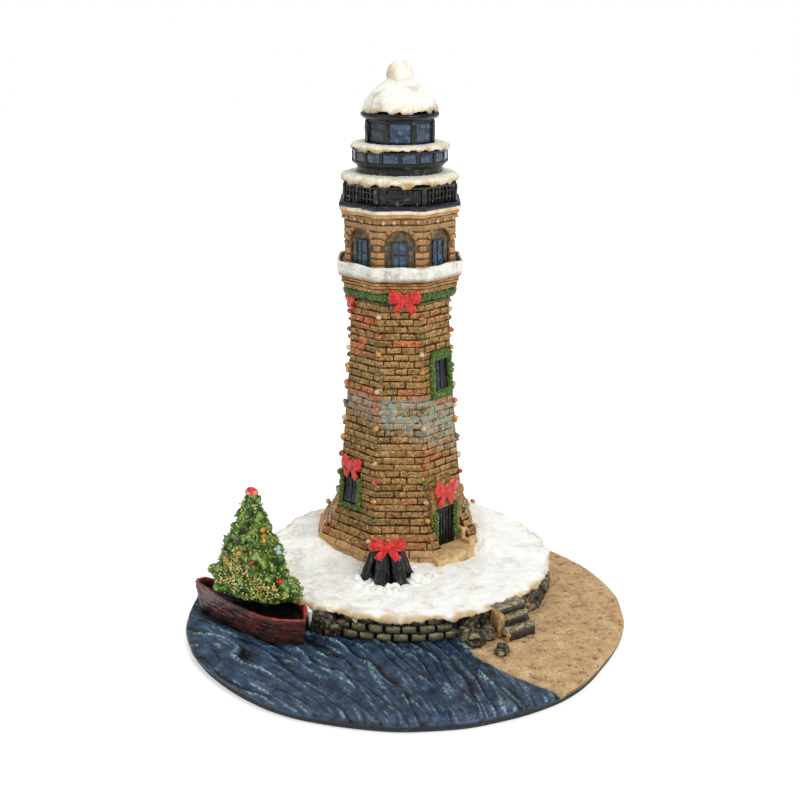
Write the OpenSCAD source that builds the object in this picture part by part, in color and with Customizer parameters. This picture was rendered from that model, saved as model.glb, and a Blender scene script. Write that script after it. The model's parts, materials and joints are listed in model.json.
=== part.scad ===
// Ornamental lighthouse on a round base of sea and beach, dressed for winter.
// The parts are castings, pegged and seated on one another, +Z up.
// The origin is the centre of the base, on the face it stands on; -Y is the front.

/* [Base] */
// Diameter of the round base
base_d = 123; // [118:1:134]
// Thickness of the flat plate under the sea and the beach
plate_t = 1.8; // [1.2:0.1:3]
// How far the plate stays inside the rim
plate_inset = 0.8; // [0.4:0.1:2]
// Thickness of the sea and beach castings
ground_t = 2.2; // [1.6:0.1:4]
// Height of the wave crests above the sea
wave_h = 0.8; // [0.3:0.1:1.4]
// Radius of the curve across a wave crest
wave_r = 5; // [3:0.5:9]
// Distance from one wave crest to the next
wave_pitch = 9; // [7:0.5:14]
// Width of the flat margin between the waves and the rim
wave_margin = 3; // [1:0.5:6]

/* [Island] */
// Diameter of the island over its sea wall
island_d = 82; // [76:1:88]
// Gap between the back of the island and the rim
rim_gap = 0.5; // [0:0.1:2]
// Number of courses of blocks in the sea wall
wall_courses = 3; // [2:1:4]
// Height of a sea wall block
block_h = 2.2; // [1.8:0.1:2.6]
// Length of a sea wall block
block_l = 4.3; // [3.6:0.1:7]
// Depth of a sea wall block
block_deep = 2; // [1.4:0.1:3]
// Width of the joints between the blocks
joint_w = 0.2; // [0.1:0.05:0.5]
// Diameter of the two pegs under the island
island_peg_d = 6; // [4:0.5:9]
// Distance between the two island pegs
island_peg_gap = 40; // [24:1:50]

/* [Snow] */
// Thickness of the snow at its thinnest, on the front of the island
snow_t = 1.4; // [0.8:0.1:2]
// How much higher the snow lies against the tower than at the front
snow_rise = 1.2; // [0.6:0.1:2.2]
// How far the snow hangs out over the sea wall
snow_lip = 1.6; // [1:0.1:3]
// How far the snow hangs down over the sea wall
snow_drop = 1.2; // [0.6:0.1:2]
// Width of one scallop along the edge of the snow
scallop_w = 9; // [6:0.5:12]
// Length of the icicle between the boat and the rocks
icicle_l = 5; // [3:0.1:5.2]
// Diameter of the icicle where it leaves the snow
icicle_d = 1.8; // [1.4:0.1:2.4]
// Clearance between the icicle and the wall, the stern and the rocks
icicle_gap = 0.35; // [0.2:0.05:0.6]

/* [Steps and rocks] */
// Width of the steps down to the beach
steps_w = 9.6; // [7:0.1:12]
// Depth of one tread
tread_run = 2.8; // [2.2:0.1:3.4]
// Size of the large rock on the beach
large_rock = 6; // [4.5:0.1:6.4]
// Size of the small rock on the beach
small_rock = 3.2; // [2:0.1:3.6]

/* [Tower] */
// Sideways place of the tower on the base
tower_x = -1.5; // [-4:0.5:4]
// Distance from the tower's axis to the back of the island
tower_back = 27; // [26.5:0.5:32]
// Width of the plinth across its flats
plinth_af = 49.2; // [48:0.2:51]
// Height of the plinth
plinth_h = 3.7; // [3.2:0.1:6]
// Height of the shaft
shaft_h = 71.8; // [66:0.2:80]
// Width of the shaft across its flats at the top
shaft_top_af = 27.8; // [26:0.2:30]
// Width of the shaft across its flats at the foot, before the flare
shaft_foot_af = 39; // [37:0.2:40]
// How far the foot of the shaft flares out
flare_w = 4.9; // [3:0.1:5]
// Height of the flare
flare_h = 9.5; // [7:0.5:12]
// Height of one brick with its joint
course_h = 2; // [1.6:0.1:3]
// Width and depth of the groove between the brick courses
groove_w = 0.3; // [0.2:0.05:0.5]
// Diameter of the pegs that join the tower's sections
peg_d = 10; // [6:0.5:12]
// Length of those pegs
peg_l = 3; // [2:0.1:4]

/* [Door and windows] */
// Width of the door
door_w = 8; // [7:0.1:8.6]
// Thickness of the door's leaves
leaf_t = 1.3; // [0.8:0.1:1.6]
// Height of the door
door_h = 12; // [10:0.1:12.6]
// How far the door stands to the left of the middle of its surround
door_side = 0.8; // [0:0.1:1]
// Width of the arched stone surround of the door
surround_w = 12.8; // [12.6:0.1:14.4]
// Height of the surround to the crown of its arch
surround_h = 21; // [18:0.1:24]
// Thickness of the surround
surround_t = 2.5; // [2:0.1:3]
// Width of the step in front of the door
step_w = 12.4; // [11:0.2:14]
// How far the step stands out from the plinth
step_out = 1.8; // [1:0.1:4]
// Height of the step below the top of the plinth
step_drop = 0.3; // [0.1:0.1:0.8]
// Width of the low window
low_window_w = 5.8; // [5:0.1:7]
// Height of the low window
low_window_h = 7.8; // [7:0.1:10]
// Height of the low window's sill above the plinth
low_window_z = 12.2; // [11.4:0.1:14]
// How far the low window stands to the left of the middle of its side
low_window_x = 2.4; // [0:0.1:2.8]
// Width of the high window
high_window_w = 5.4; // [4.4:0.1:5.8]
// Height of the high window
high_window_h = 9.6; // [8:0.1:12]
// Height of the high window's sill above the plinth
high_window_z = 46; // [38:0.5:50]
// How far the high window stands to the right of the middle of its side
high_window_x = 1.4; // [0:0.1:1.6]
// Depth of the window recesses
recess = 1.2; // [0.8:0.1:1.6]
// Thickness of the evergreen round the windows and the door
sprig_d = 1.7; // [1.2:0.1:2]

/* [Lights and ribbons] */
// Diameter of a light bulb
bulb_d = 1.6; // [1:0.1:2]
// Distance from one bulb to the next up a corner
bulb_pitch = 5.45; // [4.5:0.05:7]
// Width of the ribbon bows
bow_w = 9; // [7:0.2:10]
// Thickness of the ribbon bows
bow_t = 1.2; // [0.8:0.1:2]

/* [Lower gallery] */
// Height of the corbel below the lower gallery
corbel_h = 5; // [4:0.1:7]
// Thickness of the evergreen garland round the corbel
garland_t = 3.4; // [2:0.1:3.6]
// How far the garland stands out
garland_out = 2.4; // [1.6:0.1:3]
// Width of the cornice across its flats
cornice_af = 33; // [31.6:0.2:34.4]
// Height of the cornice
cornice_h = 1.6; // [1:0.1:3]
// Width of the lower gallery across its flats
dish_af = 35.6; // [34:0.2:38]
// Height of the lower gallery with its parapet
dish_h = 4.8; // [4:0.1:7]
// Thickness of the lower gallery's floor
dish_floor_t = 3; // [1.6:0.1:3.4]
// Thickness of the parapet
parapet_t = 1.1; // [0.7:0.05:1.5]

/* [Window storey] */
// Width of the window storey across its flats
storey_af = 31.2; // [29.4:0.2:32]
// Height of the window storey
storey_h = 15; // [14.2:0.1:18]
// Width of the arches
arch_w = 8.4; // [7:0.1:9]
// Height of the arches to their crown, from the floor
arch_h = 11.6; // [10.4:0.1:12.4]
// Depth of the arches
arch_deep = 1; // [0.5:0.1:1.4]
// Width of the windows in the arches
arch_window_w = 4.6; // [3:0.1:5]
// Height of the windows in the arches
arch_window_h = 8.4; // [6:0.1:9]
// Height of the stone courses of the storey
ashlar_h = 1.65; // [1.2:0.05:2.4]
// Diameter of the beads above the arches
bead_d = 0.9; // [0.6:0.1:1.2]

/* [Main gallery] */
// Diameter of the gallery deck
deck_d = 34; // [33:0.2:37]
// Thickness of the gallery deck
deck_t = 2.2; // [1.6:0.1:3]
// Width of the railing across its flats
rail_af = 31.2; // [30:0.2:32]
// Width of the railing's foot across its flats
rail_foot_af = 33.8; // [32.4:0.2:34]
// Height of the railing
rail_h = 6.3; // [5:0.1:9]
// Number of balusters on each side of the railing
balusters = 5; // [3:1:7]
// Diameter of the snow on the main gallery
gallery_snow_d = 33.6; // [32.6:0.2:34]
// Thickness of the snow on the main gallery
gallery_snow_t = 2.4; // [1.6:0.1:3]

/* [Watch room] */
// Diameter of the neck under the watch room
neck_d = 24; // [22.4:0.2:25]
// Height of the neck
neck_h = 5; // [4:0.1:7]
// Diameter of the watch room
watch_d = 27; // [26:0.2:30]
// Height of the watch room
watch_h = 4; // [3.6:0.1:6]
// Number of windows round the watch room
watch_windows = 16; // [12:1:18]
// Diameter of the snow on the watch room
upper_snow_d = 27.8; // [27.2:0.2:31]
// Thickness of the snow on the watch room
upper_snow_t = 1.4; // [1:0.1:2]

/* [Lantern] */
// Width of the lantern across its flats
lantern_af = 18.6; // [17.4:0.2:19.6]
// Height of the lantern
lantern_h = 7.9; // [6.6:0.1:10]
// Width of the lantern's glazing bars
bar_w = 1.3; // [0.8:0.1:2]
// Diameter of the roof at its eaves
roof_d = 22; // [21.4:0.2:25]
// Thickness of the eaves
eaves_t = 1.8; // [1.2:0.1:2.4]
// Height of the roof above its eaves
roof_h = 6.6; // [5:0.1:7]
// Distance between the scallops of the two snow rings
ring_scallop_w = 5.1; // [3:0.1:7]
// Height of the snow on the roof
roof_snow_h = 9.1; // [8.6:0.1:10]
// Diameter of the ball on the roof
ball_d = 7.5; // [6:0.1:8.4]

/* [Boat and tree] */
// Length of the boat
boat_l = 36; // [33:0.5:37]
// Distance from the island's wall out to the middle of the boat
boat_gap = 7.9; // [7.7:0.1:8.4]
// Width of the boat at its gunwale
boat_w = 17; // [15.6:0.2:17.6]
// Height of the boat's side above the sea
boat_h = 6.2; // [5:0.1:7.4]
// Thickness of the boat's side
boat_wall = 1.1; // [0.8:0.1:1.6]
// Depth from the gunwale down to the boat's deck
deck_depth = 2; // [1.2:0.1:3]
// Length of the tree's lowest branches along the boat
tree_w = 31; // [26:0.5:32]
// Width of the tree's lowest branches across the boat
tree_deep = 15; // [12:0.5:17]
// Height of the tree above the deck
tree_h = 32.6; // [26:0.2:36]
// Number of tiers of branches
tiers = 7; // [5:1:9]
// Diameter of the tree's trunk
trunk_d = 4; // [2.4:0.1:5]

/* [Mooring piles] */
// Number of piles
piles = 6; // [5:1:6]
// Diameter of a pile
pile_d = 3; // [2.2:0.1:3.1]
// Height of the piles above the island
pile_h = 11.2; // [9:0.2:14]
// Distance of the pile feet from the middle of the group
pile_foot_r = 5.6; // [5:0.1:5.8]
// Distance of the pile heads from the middle of the group
pile_head_r = 3.4; // [3.2:0.1:4.2]
// Gap between the piles and the plinth
pile_gap = 1.3; // [0.6:0.1:3]
// How far the piles stand to the left of the tower's axis
pile_side = 3.7; // [0:0.1:7]

/* [Hidden] */
$fn = 72;

fit = 0.1;    // radial gap round a peg in its hole
seat = 0.05;  // gap between a small piece and the face that it is fixed to
half = 180 / 8;  // half the angle of one side of an eight-sided plan

base_r = base_d / 2;
island_r = island_d / 2;
core_r = island_r - block_deep;
island_y = base_r - rim_gap - island_r;
tower_y = island_y + island_r - tower_back;

ground_z = plate_t + ground_t;
block_pitch = block_h + joint_w;
core_top = ground_z + wall_courses * block_pitch;
plinth_top = core_top + plinth_h;
shaft_top = plinth_top + shaft_h;
corbel_top = shaft_top + corbel_h;
cornice_top = corbel_top + cornice_h;
dish_floor = cornice_top + dish_floor_t;
storey_top = dish_floor + storey_h;
deck_top = storey_top + deck_t;
rail_top = deck_top + rail_h;
neck_top = rail_top + neck_h;
watch_top = neck_top + watch_h;
lantern_top = watch_top + lantern_h;
eaves_top = lantern_top + eaves_t;
ball_z = eaves_top + roof_snow_h + ball_d * 0.13;

plinth_r = plinth_af / 2;
snow_low = core_top + snow_t;
snow_high = snow_low + snow_rise;
// The front edge of the island, seen from the tower's axis
snow_far = tower_y - island_y + island_r;

// How far the front bow of the garland sits to the right of the middle
front_bow_side = 1.5;

// Places round the island, in degrees from +X, and the parts of the wall that rocks and steps take
steps_at = -49.5;
right_rocks = [-66, -5];
door_face = 45;
low_window_face = -45;
high_window_face = 45;
bow_faces = [0, -67.5, -157.5, 112.5];
// The shore leaves the wall here, bends here and meets the rim here
shore_start = -68;
shore_bend = [14.5, -30];
shore_end = -51;
// Where the boat lies against the island, and its heading
boat_bearing = -150.9;
boat_at = [0, island_y] + (island_r + boat_gap) * [cos(boat_bearing), sin(boat_bearing)];
boat_heading = 150;
// How far the stern is cut aslant, and how far the tree stands in from the middle of the boat
stern_skew = 2.6;
tree_in = 1.4;
// The way the stern faces, how far it lies from the island's middle that way, and the icicle's place
// behind it, clear of the wall; the rocks begin on the far side of the icicle
stern_face = boat_heading + atan2(-2 * stern_skew, -0.45 * boat_w);
stern_at = boat_at - [0, island_y] - boat_l / 2 * [cos(boat_heading), sin(boat_heading)];
stern_out = stern_at * [cos(stern_face), sin(stern_face)];
icicle_r = island_r + icicle_d / 2 + icicle_gap;
icicle_face = stern_face - acos((stern_out + icicle_d / 2 + icicle_gap) / icicle_r);
left_rocks = [icicle_face + (icicle_d / 2 + icicle_gap) / icicle_r * 180 / PI, -118];
// The part of the wall that the boat hides
boat_berth = [boat_bearing - 6.1, left_rocks[0]];
// Middle of the piles
pile_at = [tower_x - pile_side, tower_y - plinth_r - pile_foot_r - pile_d / 2 - pile_gap];

// Half of the shaft's width at a height above the plinth
function shaft_r(h) = shaft_top_af / 2
    + (shaft_foot_af - shaft_top_af) / 2 * pow(max(shaft_h - h, 0) / shaft_h, 1.5)
    + flare_w * pow(max(flare_h - h, 0) / flare_h, 1.15);
// How far the shaft's face leans back between two heights, in degrees
function lean(low, high) = atan2(shaft_r(low) - shaft_r(high), high - low);
// A number from 0 to 1 that looks random but stays the same for one seed
function scatter(seed) = let (v = sin(seed * 127.1 + 11.7) * 437.5) v - floor(v);
function bezier(a, b, c, t) = (1 - t) * (1 - t) * a + 2 * t * (1 - t) * b + t * t * c;
// Half of the boat's width at a share of its length from the stern: it is widest a quarter of the way
function boat_half(w, t) = let (full = 0.27, fore = max(t - full, 0) / (1 - full)) w / 2
    * (t < full ? 0.45 + 0.55 * sin(t / full * 90) : 0.22 + 0.78 * pow(cos(fore * 90), 1.2));
function boat_side(w, l, side, n = 12) = [for (i = [0:n])
    [l * (i / n - 0.5) - side * stern_skew * (1 - i / n), side * boat_half(w, i / n)]];
function boat_outline(w, l) = let (port = boat_side(w, l, 1), n = len(port))
    concat(boat_side(w, l, -1), [for (i = [n - 1:-1:0]) port[i]]);
function in_range(a, range) = a > range[0] && a < range[1];
function wrap(a) = a > 180 ? a - 360 : a;

// An upright eight-sided prism, r from its axis to each flat
module oct(r, h) {
    rotate([0, 0, half]) cylinder(r = r / cos(half), h = h, $fn = 8);
}

// An eight-sided solid from a profile of [r, z] points, r measured to the flats
module oct_lathe(profile) {
    rotate([0, 0, half]) rotate_extrude($fn = 8)
        polygon([for (p = profile) [p[0] / cos(half), p[1]]]);
}

module at_tower(z = 0) {
    translate([tower_x, tower_y, z]) children();
}

module at_island(z = 0) {
    translate([0, island_y, z]) children();
}

module at_boat(z = 0) {
    translate([boat_at[0], boat_at[1], z]) rotate([0, 0, boat_heading]) children();
}

// Puts children on one face of the shaft, leaning with it: X along the face, -Y out of it
module on_face(face, low, high) {
    at_tower(plinth_top + low) rotate([0, 0, face]) translate([0, -shaft_r(low), 0])
        rotate([-lean(low, high), 0, 0]) children();
}

// A peg below a section of the tower, and the hole that it goes into
module peg(z, d = peg_d, l = peg_l) {
    translate([0, 0, z - l]) cylinder(d = d, h = l + 0.01);
}

module peg_hole(z, d = peg_d, l = peg_l) {
    translate([0, 0, z - l - fit]) cylinder(d = d + 2 * fit, h = l + fit + 0.01);
}

module island_pegs(d, z, h) {
    for (side = [-1, 1])
        translate([side * island_peg_gap / 2, island_y, z]) cylinder(d = d, h = h);
}

// A ribbon bow standing in the XZ plane, its back at Y = 0: two loops, two tails and a knot
module bow(w, t = bow_t) {
    h = w * 0.5;
    right = [[0.05, 0.14], [0.46, 0.42], [0.5, -0.5], [0.1, -0.2], [0.36, -0.92], [0.14, -1]];
    half_bow = [for (p = right) [p[0] * w, p[1] * h]];
    rotate([90, 0, 0]) {
        linear_extrude(t) polygon(concat(half_bow, [[0, -h * 0.35]],
            [for (i = [len(half_bow) - 1:-1:0]) [-half_bow[i][0], half_bow[i][1]]]));
        cylinder(d = w * 0.22, h = t * 1.3, $fn = 32);
    }
}

// A rough boulder on a flat foot, its back face square to X
module boulder(w, deep, h, seed) {
    slant = 0.72 + 0.2 * scatter(seed);
    hull() {
        translate([0, -w / 2, 0]) cube([deep, w, 0.2]);
        translate([0, -w * (0.3 + 0.15 * scatter(seed + 1)), h * 0.55])
            cube([deep * slant, w * 0.74, 0.2]);
        translate([0, -w * 0.2, h - 0.2]) cube([deep * 0.5, w * (0.3 + 0.2 * scatter(seed + 2)), 0.2]);
    }
}

// A sprig of evergreen as a rod with round ends
module sprig(from, to, d = sprig_d) {
    run = to - from;
    translate(from) rotate([0, atan2(norm([run[0], run[1]]), run[2]), atan2(run[1], run[0])])
        cylinder(d = d, h = norm(run), $fn = 24);
    translate(from) sphere(d = d, $fn = 24);
    translate(to) sphere(d = d, $fn = 24);
}

// Evergreen round an opening in the XZ plane that stands on Z = 0
module sprig_frame(w, h) {
    out = -sprig_d / 2 - seat;
    x = w / 2 + sprig_d / 2;
    low = -sprig_d / 2;
    high = h + sprig_d / 2;
    sprig([-x, out, low], [-x, out, high]);
    sprig([x, out, low], [x, out, high]);
    sprig([-x, out, low], [x, out, low]);
    sprig([-x, out, high], [x, out, high]);
}

module shore_area(h) {
    a = [0, island_y] + (core_r - 1) * [cos(shore_start), sin(shore_start)];
    c = base_r * [cos(shore_end), sin(shore_end)];
    bend = [for (i = [0:12]) bezier(a, shore_bend, c, i / 12)];
    linear_extrude(h) polygon(concat([[0, base_d]], bend, [c * 1.6, [base_d * 1.2, -base_r],
        [base_d * 1.2, base_d]]));
}

module base_plate() {
    color("dimgray") difference() {
        cylinder(r = base_r - plate_inset, h = plate_t);
        island_pegs(island_peg_d + 2 * fit, -1, plate_t + 2);
    }
}

// The crests are the tops of long cylinders that lie in the sea
module wave_crests() {
    angle = -38;
    count = ceil(base_d / wave_pitch);
    intersection() {
        translate([0, 0, ground_z - 0.01]) cylinder(r = base_r - wave_margin, h = wave_h + 1);
        rotate([0, 0, angle])
            for (i = [-floor(count / 2):floor(count / 2)])
                translate([-base_r, i * wave_pitch, ground_z + wave_h - wave_r])
                    rotate([0, 90, 0]) cylinder(r = wave_r, h = base_d);
    }
}

module boat_clearance(h) {
    at_boat(ground_z) linear_extrude(h) polygon(boat_outline(boat_w + 2, boat_l + 2));
}

keel_l = ground_t - 0.3;

module sea() {
    color("steelblue") difference() {
        union() {
            translate([0, 0, plate_t]) cylinder(r = base_r, h = ground_t);
            difference() {
                wave_crests();
                at_island() cylinder(r = island_r + snow_lip + 0.6, h = core_top);
                boat_clearance(wave_h + 2);
            }
        }
        shore_area(core_top);
        island_pegs(island_peg_d + 2 * fit, 0, core_top);
        at_boat() peg_hole(ground_z, trunk_d, keel_l);
    }
}

module beach() {
    color("burlywood") difference() {
        intersection() {
            translate([0, 0, plate_t]) cylinder(r = base_r, h = ground_t);
            shore_area(core_top);
        }
        island_pegs(island_peg_d + 2 * fit, 0, core_top);
    }
}

module island_core() {
    color("dimgray") {
        difference() {
            at_island(ground_z) cylinder(r = core_r, h = core_top - ground_z);
            at_tower() peg_hole(core_top);
            boat_clearance(core_top);
        }
        island_pegs(island_peg_d, plate_t * 0.2, ground_z - plate_t * 0.2 + 0.01);
    }
}

// Blocks in running bond, each flat against the core; rocks and steps take their place
module seawall_blocks() {
    count = floor(PI * (island_d - block_deep) / (block_l + joint_w));
    step = 360 / count;
    color("darkkhaki") at_island() for (course = [0:wall_courses - 1], i = [0:count - 1]) {
        a = wrap((i + course % 2 / 2) * step);
        taken = in_range(a, left_rocks - [3, -3]) || in_range(a, right_rocks - [3, -3])
            || in_range(a, boat_berth);
        if (!taken) rotate([0, 0, a])
            translate([core_r + seat, -block_l / 2, ground_z + course * block_pitch])
                cube([block_deep - seat, block_l, block_h]);
    }
}

// A run of boulders against the core, from one angle to the other
module rock_run(range, seed) {
    steps_half = 11;
    width = 6.2;
    count = max(1, round((range[1] - range[0]) / (width / core_r * 180 / PI)));
    for (i = [0:count - 1]) {
        a = range[0] + (i + 0.5) * (range[1] - range[0]) / count;
        behind_steps = abs(a - steps_at) < steps_half;
        deep = behind_steps ? block_deep - 0.3 : block_deep * (0.9 + 0.5 * scatter(seed + i));
        rotate([0, 0, a]) translate([core_r + seat, 0, ground_z])
            boulder((range[1] - range[0]) / count / 180 * PI * core_r - 0.3, deep,
                (core_top - ground_z) * (0.8 + 0.15 * scatter(seed + 7 * i)), seed + 3 * i);
    }
}

module rocks_left() {
    color("darkslategray") at_island() rock_run(left_rocks, 3);
}

module rocks_right() {
    color("darkslategray") at_island() rock_run(right_rocks, 20);
}

module beach_rocks() {
    color("dimgray") {
        at_island(ground_z) rotate([0, 0, -66]) translate([island_r + large_rock * 0.4, 0, 0])
            boulder(large_rock, large_rock * 0.9, large_rock * 0.77, 5);
        at_island(ground_z) rotate([0, 0, -62.5]) translate([island_r + large_rock * 1.75, 0, 0])
            boulder(small_rock, small_rock, small_rock * 0.88, 8);
    }
}

// Three slate treads down to the beach, hollowed to the curve of the wall
module beach_steps() {
    treads = 3;
    rise = (core_top - snow_drop - ground_z - 0.4) / treads;
    color("darkslategray") at_island(ground_z) rotate([0, 0, steps_at]) difference() {
        for (i = [0:treads - 1]) translate([core_r, -steps_w / 2, 0])
            cube([block_deep + tread_run * (treads - i), steps_w, rise * (i + 1)]);
        translate([0, 0, -1]) cylinder(r = island_r + 0.15, h = core_top);
    }
}

// The slope of the snow is a wide cone round the tower; its edge is scalloped and hangs over the wall
module snow_blanket() {
    count = round(PI * island_d / scallop_w);
    lip_r = island_r + snow_lip;
    slope = snow_rise / (snow_far - plinth_r);
    low = core_top - snow_drop;
    color("white") difference() {
        intersection() {
            union() {
                at_island(low) cylinder(r = lip_r - 0.8, h = snow_high - low + 1);
                at_island() for (i = [0:count - 1])
                    rotate([0, 0, i * 360 / count + 6 * scatter(i)])
                        translate([lip_r - scallop_w * 0.45 - 0.4 * scatter(i + 40), 0,
                            low - 0.5 * scatter(i + 80)])
                            cylinder(d = scallop_w * 0.9, h = snow_high - low + 2, $fn = 36);
            }
            at_tower(low - 1) {
                tip = snow_far + snow_lip + 2;
                drop = snow_high - (low - 1) - slope * (tip - plinth_r);
                cylinder(r = tip, h = drop);
                translate([0, 0, drop]) cylinder(r1 = tip, r2 = plinth_r - 3,
                    h = slope * (tip - plinth_r + 3));
            }
            cylinder(r = base_r - rim_gap / 2, h = snow_high + 2);
        }
        at_island(low - 2) cylinder(r = island_r + 0.35, h = core_top - low + 2);
        at_tower(core_top - 1) oct(plinth_r + fit, plinth_r);
        door_step_block(fit);
        pile_group(pile_d + 2 * fit, core_top - 1);
        boat_clearance(snow_high);
    }
}

module icicle() {
    low = core_top - snow_drop - 0.6;
    color("white") at_island(low - icicle_l) rotate([0, 0, icicle_face]) translate([icicle_r, 0, 0])
        cylinder(d1 = icicle_d * 0.3, d2 = icicle_d, h = icicle_l, $fn = 24);
}

module tower_plinth() {
    color("peru") at_tower() difference() {
        union() {
            translate([0, 0, core_top]) oct(plinth_r, plinth_h);
            peg(core_top);
        }
        peg_hole(plinth_top);
        rotate([0, 0, door_face]) translate([-step_w / 2 - fit, -plinth_r - 1, core_top - 1])
            cube([step_w + 2 * fit, plinth_r + 1 - door_r, plinth_h + 2]);
    }
}

// The front of the door's surround, measured from the tower's axis
door_r = shaft_r(surround_h) - 0.3 + surround_t;

module door_step_block(grow = 0) {
    at_tower() rotate([0, 0, door_face])
        translate([-step_w / 2 - grow, -plinth_r - step_out - grow, core_top])
            cube([step_w + 2 * grow, plinth_r + step_out - door_r - fit + grow,
                plinth_h - step_drop + (grow > 0 ? plinth_r : 0)]);
}

module door_step() {
    color("burlywood") door_step_block();
}

// The outline of the surround: upright sides and a round head
module surround_outline(grow = 0) {
    r = surround_w / 2 + grow;
    translate([-r, 0]) square([2 * r, surround_h - surround_w / 2]);
    translate([0, surround_h - surround_w / 2]) circle(r = r);
}

module at_door(out = 0) {
    at_tower(plinth_top) rotate([0, 0, door_face]) translate([0, -door_r - out, 0]) children();
}

module window_recess(face, x, w, h, z) {
    on_face(face, z, z + h) translate([x - w / 2, -1, 0]) cube([w, recess + 1, h]);
}

// Brick courses round an eight-sided, battered shaft
module tower_shaft() {
    courses = floor(shaft_h / course_h);
    pitch = shaft_h / courses;
    g = groove_w / 2;
    profile = concat([[0, 0]], [for (k = [0:courses - 1], p = [0:3])
        let (h = pitch * k + [g, pitch - g, pitch - g, pitch + g][p], top = k == courses - 1 && p == 3)
        [shaft_r(min(h, shaft_h)) - (p > 1 ? groove_w : 0), top ? shaft_h : h]],
        [[0, shaft_h]]);
    base = [for (p = profile) p[1] == g ? [p[0], 0] : p];
    color("peru") difference() {
        union() {
            at_tower(plinth_top) oct_lathe(base);
            at_tower() peg(plinth_top);
        }
        at_tower() peg_hole(shaft_top);
        at_door(-surround_t - seat) rotate([90, 0, 0]) translate([0, -0.01, 0])
            linear_extrude(plinth_r) surround_outline(seat);
        window_recess(low_window_face, -low_window_x, low_window_w, low_window_h, low_window_z);
        window_recess(high_window_face, high_window_x, high_window_w, high_window_h, high_window_z);
    }
}

module door_surround() {
    color("tan") at_door(-surround_t) rotate([90, 0, 0]) linear_extrude(surround_t) difference() {
        surround_outline();
        translate([-door_side - door_w / 2, -1]) square([door_w, door_h + 1]);
    }
}

// Two ribbed leaves that stand in the surround
module door_leaves() {
    leaf = door_w / 2 - 0.15;
    ribs = 3;
    color("black") at_door(-surround_t) for (side = [0, 1])
        translate([-door_side + (side ? 0.1 : -0.1 - leaf), 0, 0]) {
            translate([0, -leaf_t, 0]) cube([leaf, leaf_t, door_h - 0.1]);
            for (i = [0:ribs - 1]) translate([leaf * (i + 0.5) / ribs, -leaf_t, 0])
                cylinder(d = leaf / ribs * 0.8, h = door_h - 0.1, $fn = 24);
        }
}

module door_sprigs() {
    out = sprig_d / 2 + seat;
    color("darkgreen") at_door(out) for (side = [-1, 1])
        translate([-door_side + side * (door_w / 2 + sprig_d / 2 + 0.05), 0, 0])
            sprig([0, 0, sprig_d / 2], [0, 0, door_h - sprig_d / 2]);
}

module door_bow() {
    color("red") at_door(seat) translate([0, 0, door_h + bow_w * 0.42]) bow(bow_w * 0.92);
}

module pane(face, x, w, h, z) {
    on_face(face, z, z + h) translate([x - w / 2 + 0.05, recess - 0.5 - seat, 0.05])
        cube([w - 0.1, 0.5, h - 0.1]);
}

module low_window_pane() {
    color("black") pane(low_window_face, -low_window_x, low_window_w, low_window_h, low_window_z);
}

module low_window_sprigs() {
    color("darkgreen") on_face(low_window_face, low_window_z, low_window_z + low_window_h)
        translate([-low_window_x, 0, 0]) sprig_frame(low_window_w, low_window_h);
}

module low_window_bow() {
    z = low_window_z + low_window_h + sprig_d + bow_w * 0.44;
    color("red") on_face(low_window_face, z, z + 3) translate([-low_window_x, -seat, 0])
        bow(bow_w * 0.84);
}

module high_window_pane() {
    color("black") pane(high_window_face, high_window_x, high_window_w, high_window_h, high_window_z);
}

module high_window_sprigs() {
    color("darkgreen") on_face(high_window_face, high_window_z, high_window_z + high_window_h)
        translate([high_window_x, 0, 0]) sprig_frame(high_window_w, high_window_h);
}

// Bulbs of one colour out of four, up the eight corners of the shaft
module bulbs(colour) {
    first = 1.8;
    count = floor((shaft_h - 2 * first) / bulb_pitch) + 1;
    at_tower(plinth_top) for (corner = [0:7], i = [0:count - 1])
        if ((i + corner) % 4 == colour) {
            h = first + i * bulb_pitch;
            rotate([0, 0, half + corner * 45])
                translate([shaft_r(max(h - bulb_d / 2, 0)) / cos(half) + bulb_d / 2, 0, h])
                    sphere(d = bulb_d, $fn = 24);
        }
}

module bulbs_white() {
    color("white") bulbs(0);
}

module bulbs_red() {
    color("red") bulbs(1);
}

module bulbs_amber() {
    color("orange") bulbs(2);
}

module bulbs_green() {
    color("darkgreen") bulbs(3);
}

// The neck of the corbel holds the garland
corbel_neck_r = shaft_top_af / 2 - 0.3;

module corbel() {
    shelf = (corbel_h - garland_t) / 2;
    color("saddlebrown") at_tower() difference() {
        union() {
            translate([0, 0, shaft_top]) oct(shaft_top_af / 2, shelf);
            translate([0, 0, shaft_top + shelf - 0.01]) oct(corbel_neck_r, garland_t + 0.02);
            translate([0, 0, corbel_top - shelf]) oct(cornice_af / 2 - 0.5, shelf);
            peg(shaft_top);
        }
        peg_hole(corbel_top);
    }
}

// An eight-sided ring with a rounded section, flat against the corbel's neck
module garland_ring() {
    inner = corbel_neck_r + fit;
    tall = garland_t / 2 - fit;
    color("darkgreen") at_tower(shaft_top + corbel_h / 2) oct_lathe(concat([[inner, -tall]],
        [for (a = [-75:30:75]) [inner + garland_out * cos(a), tall * sin(a)]], [[inner, tall]]));
}

module garland_bows() {
    z = shaft_top + corbel_h / 2 - 0.4;
    out = corbel_neck_r + fit + garland_out;
    color("red") at_tower(z) for (face = bow_faces) rotate([0, 0, face])
        translate([face == 0 ? front_bow_side : 0, -out / (face == 0 ? 1 : cos(half)) - seat, 0]) bow(bow_w);
}

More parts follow.
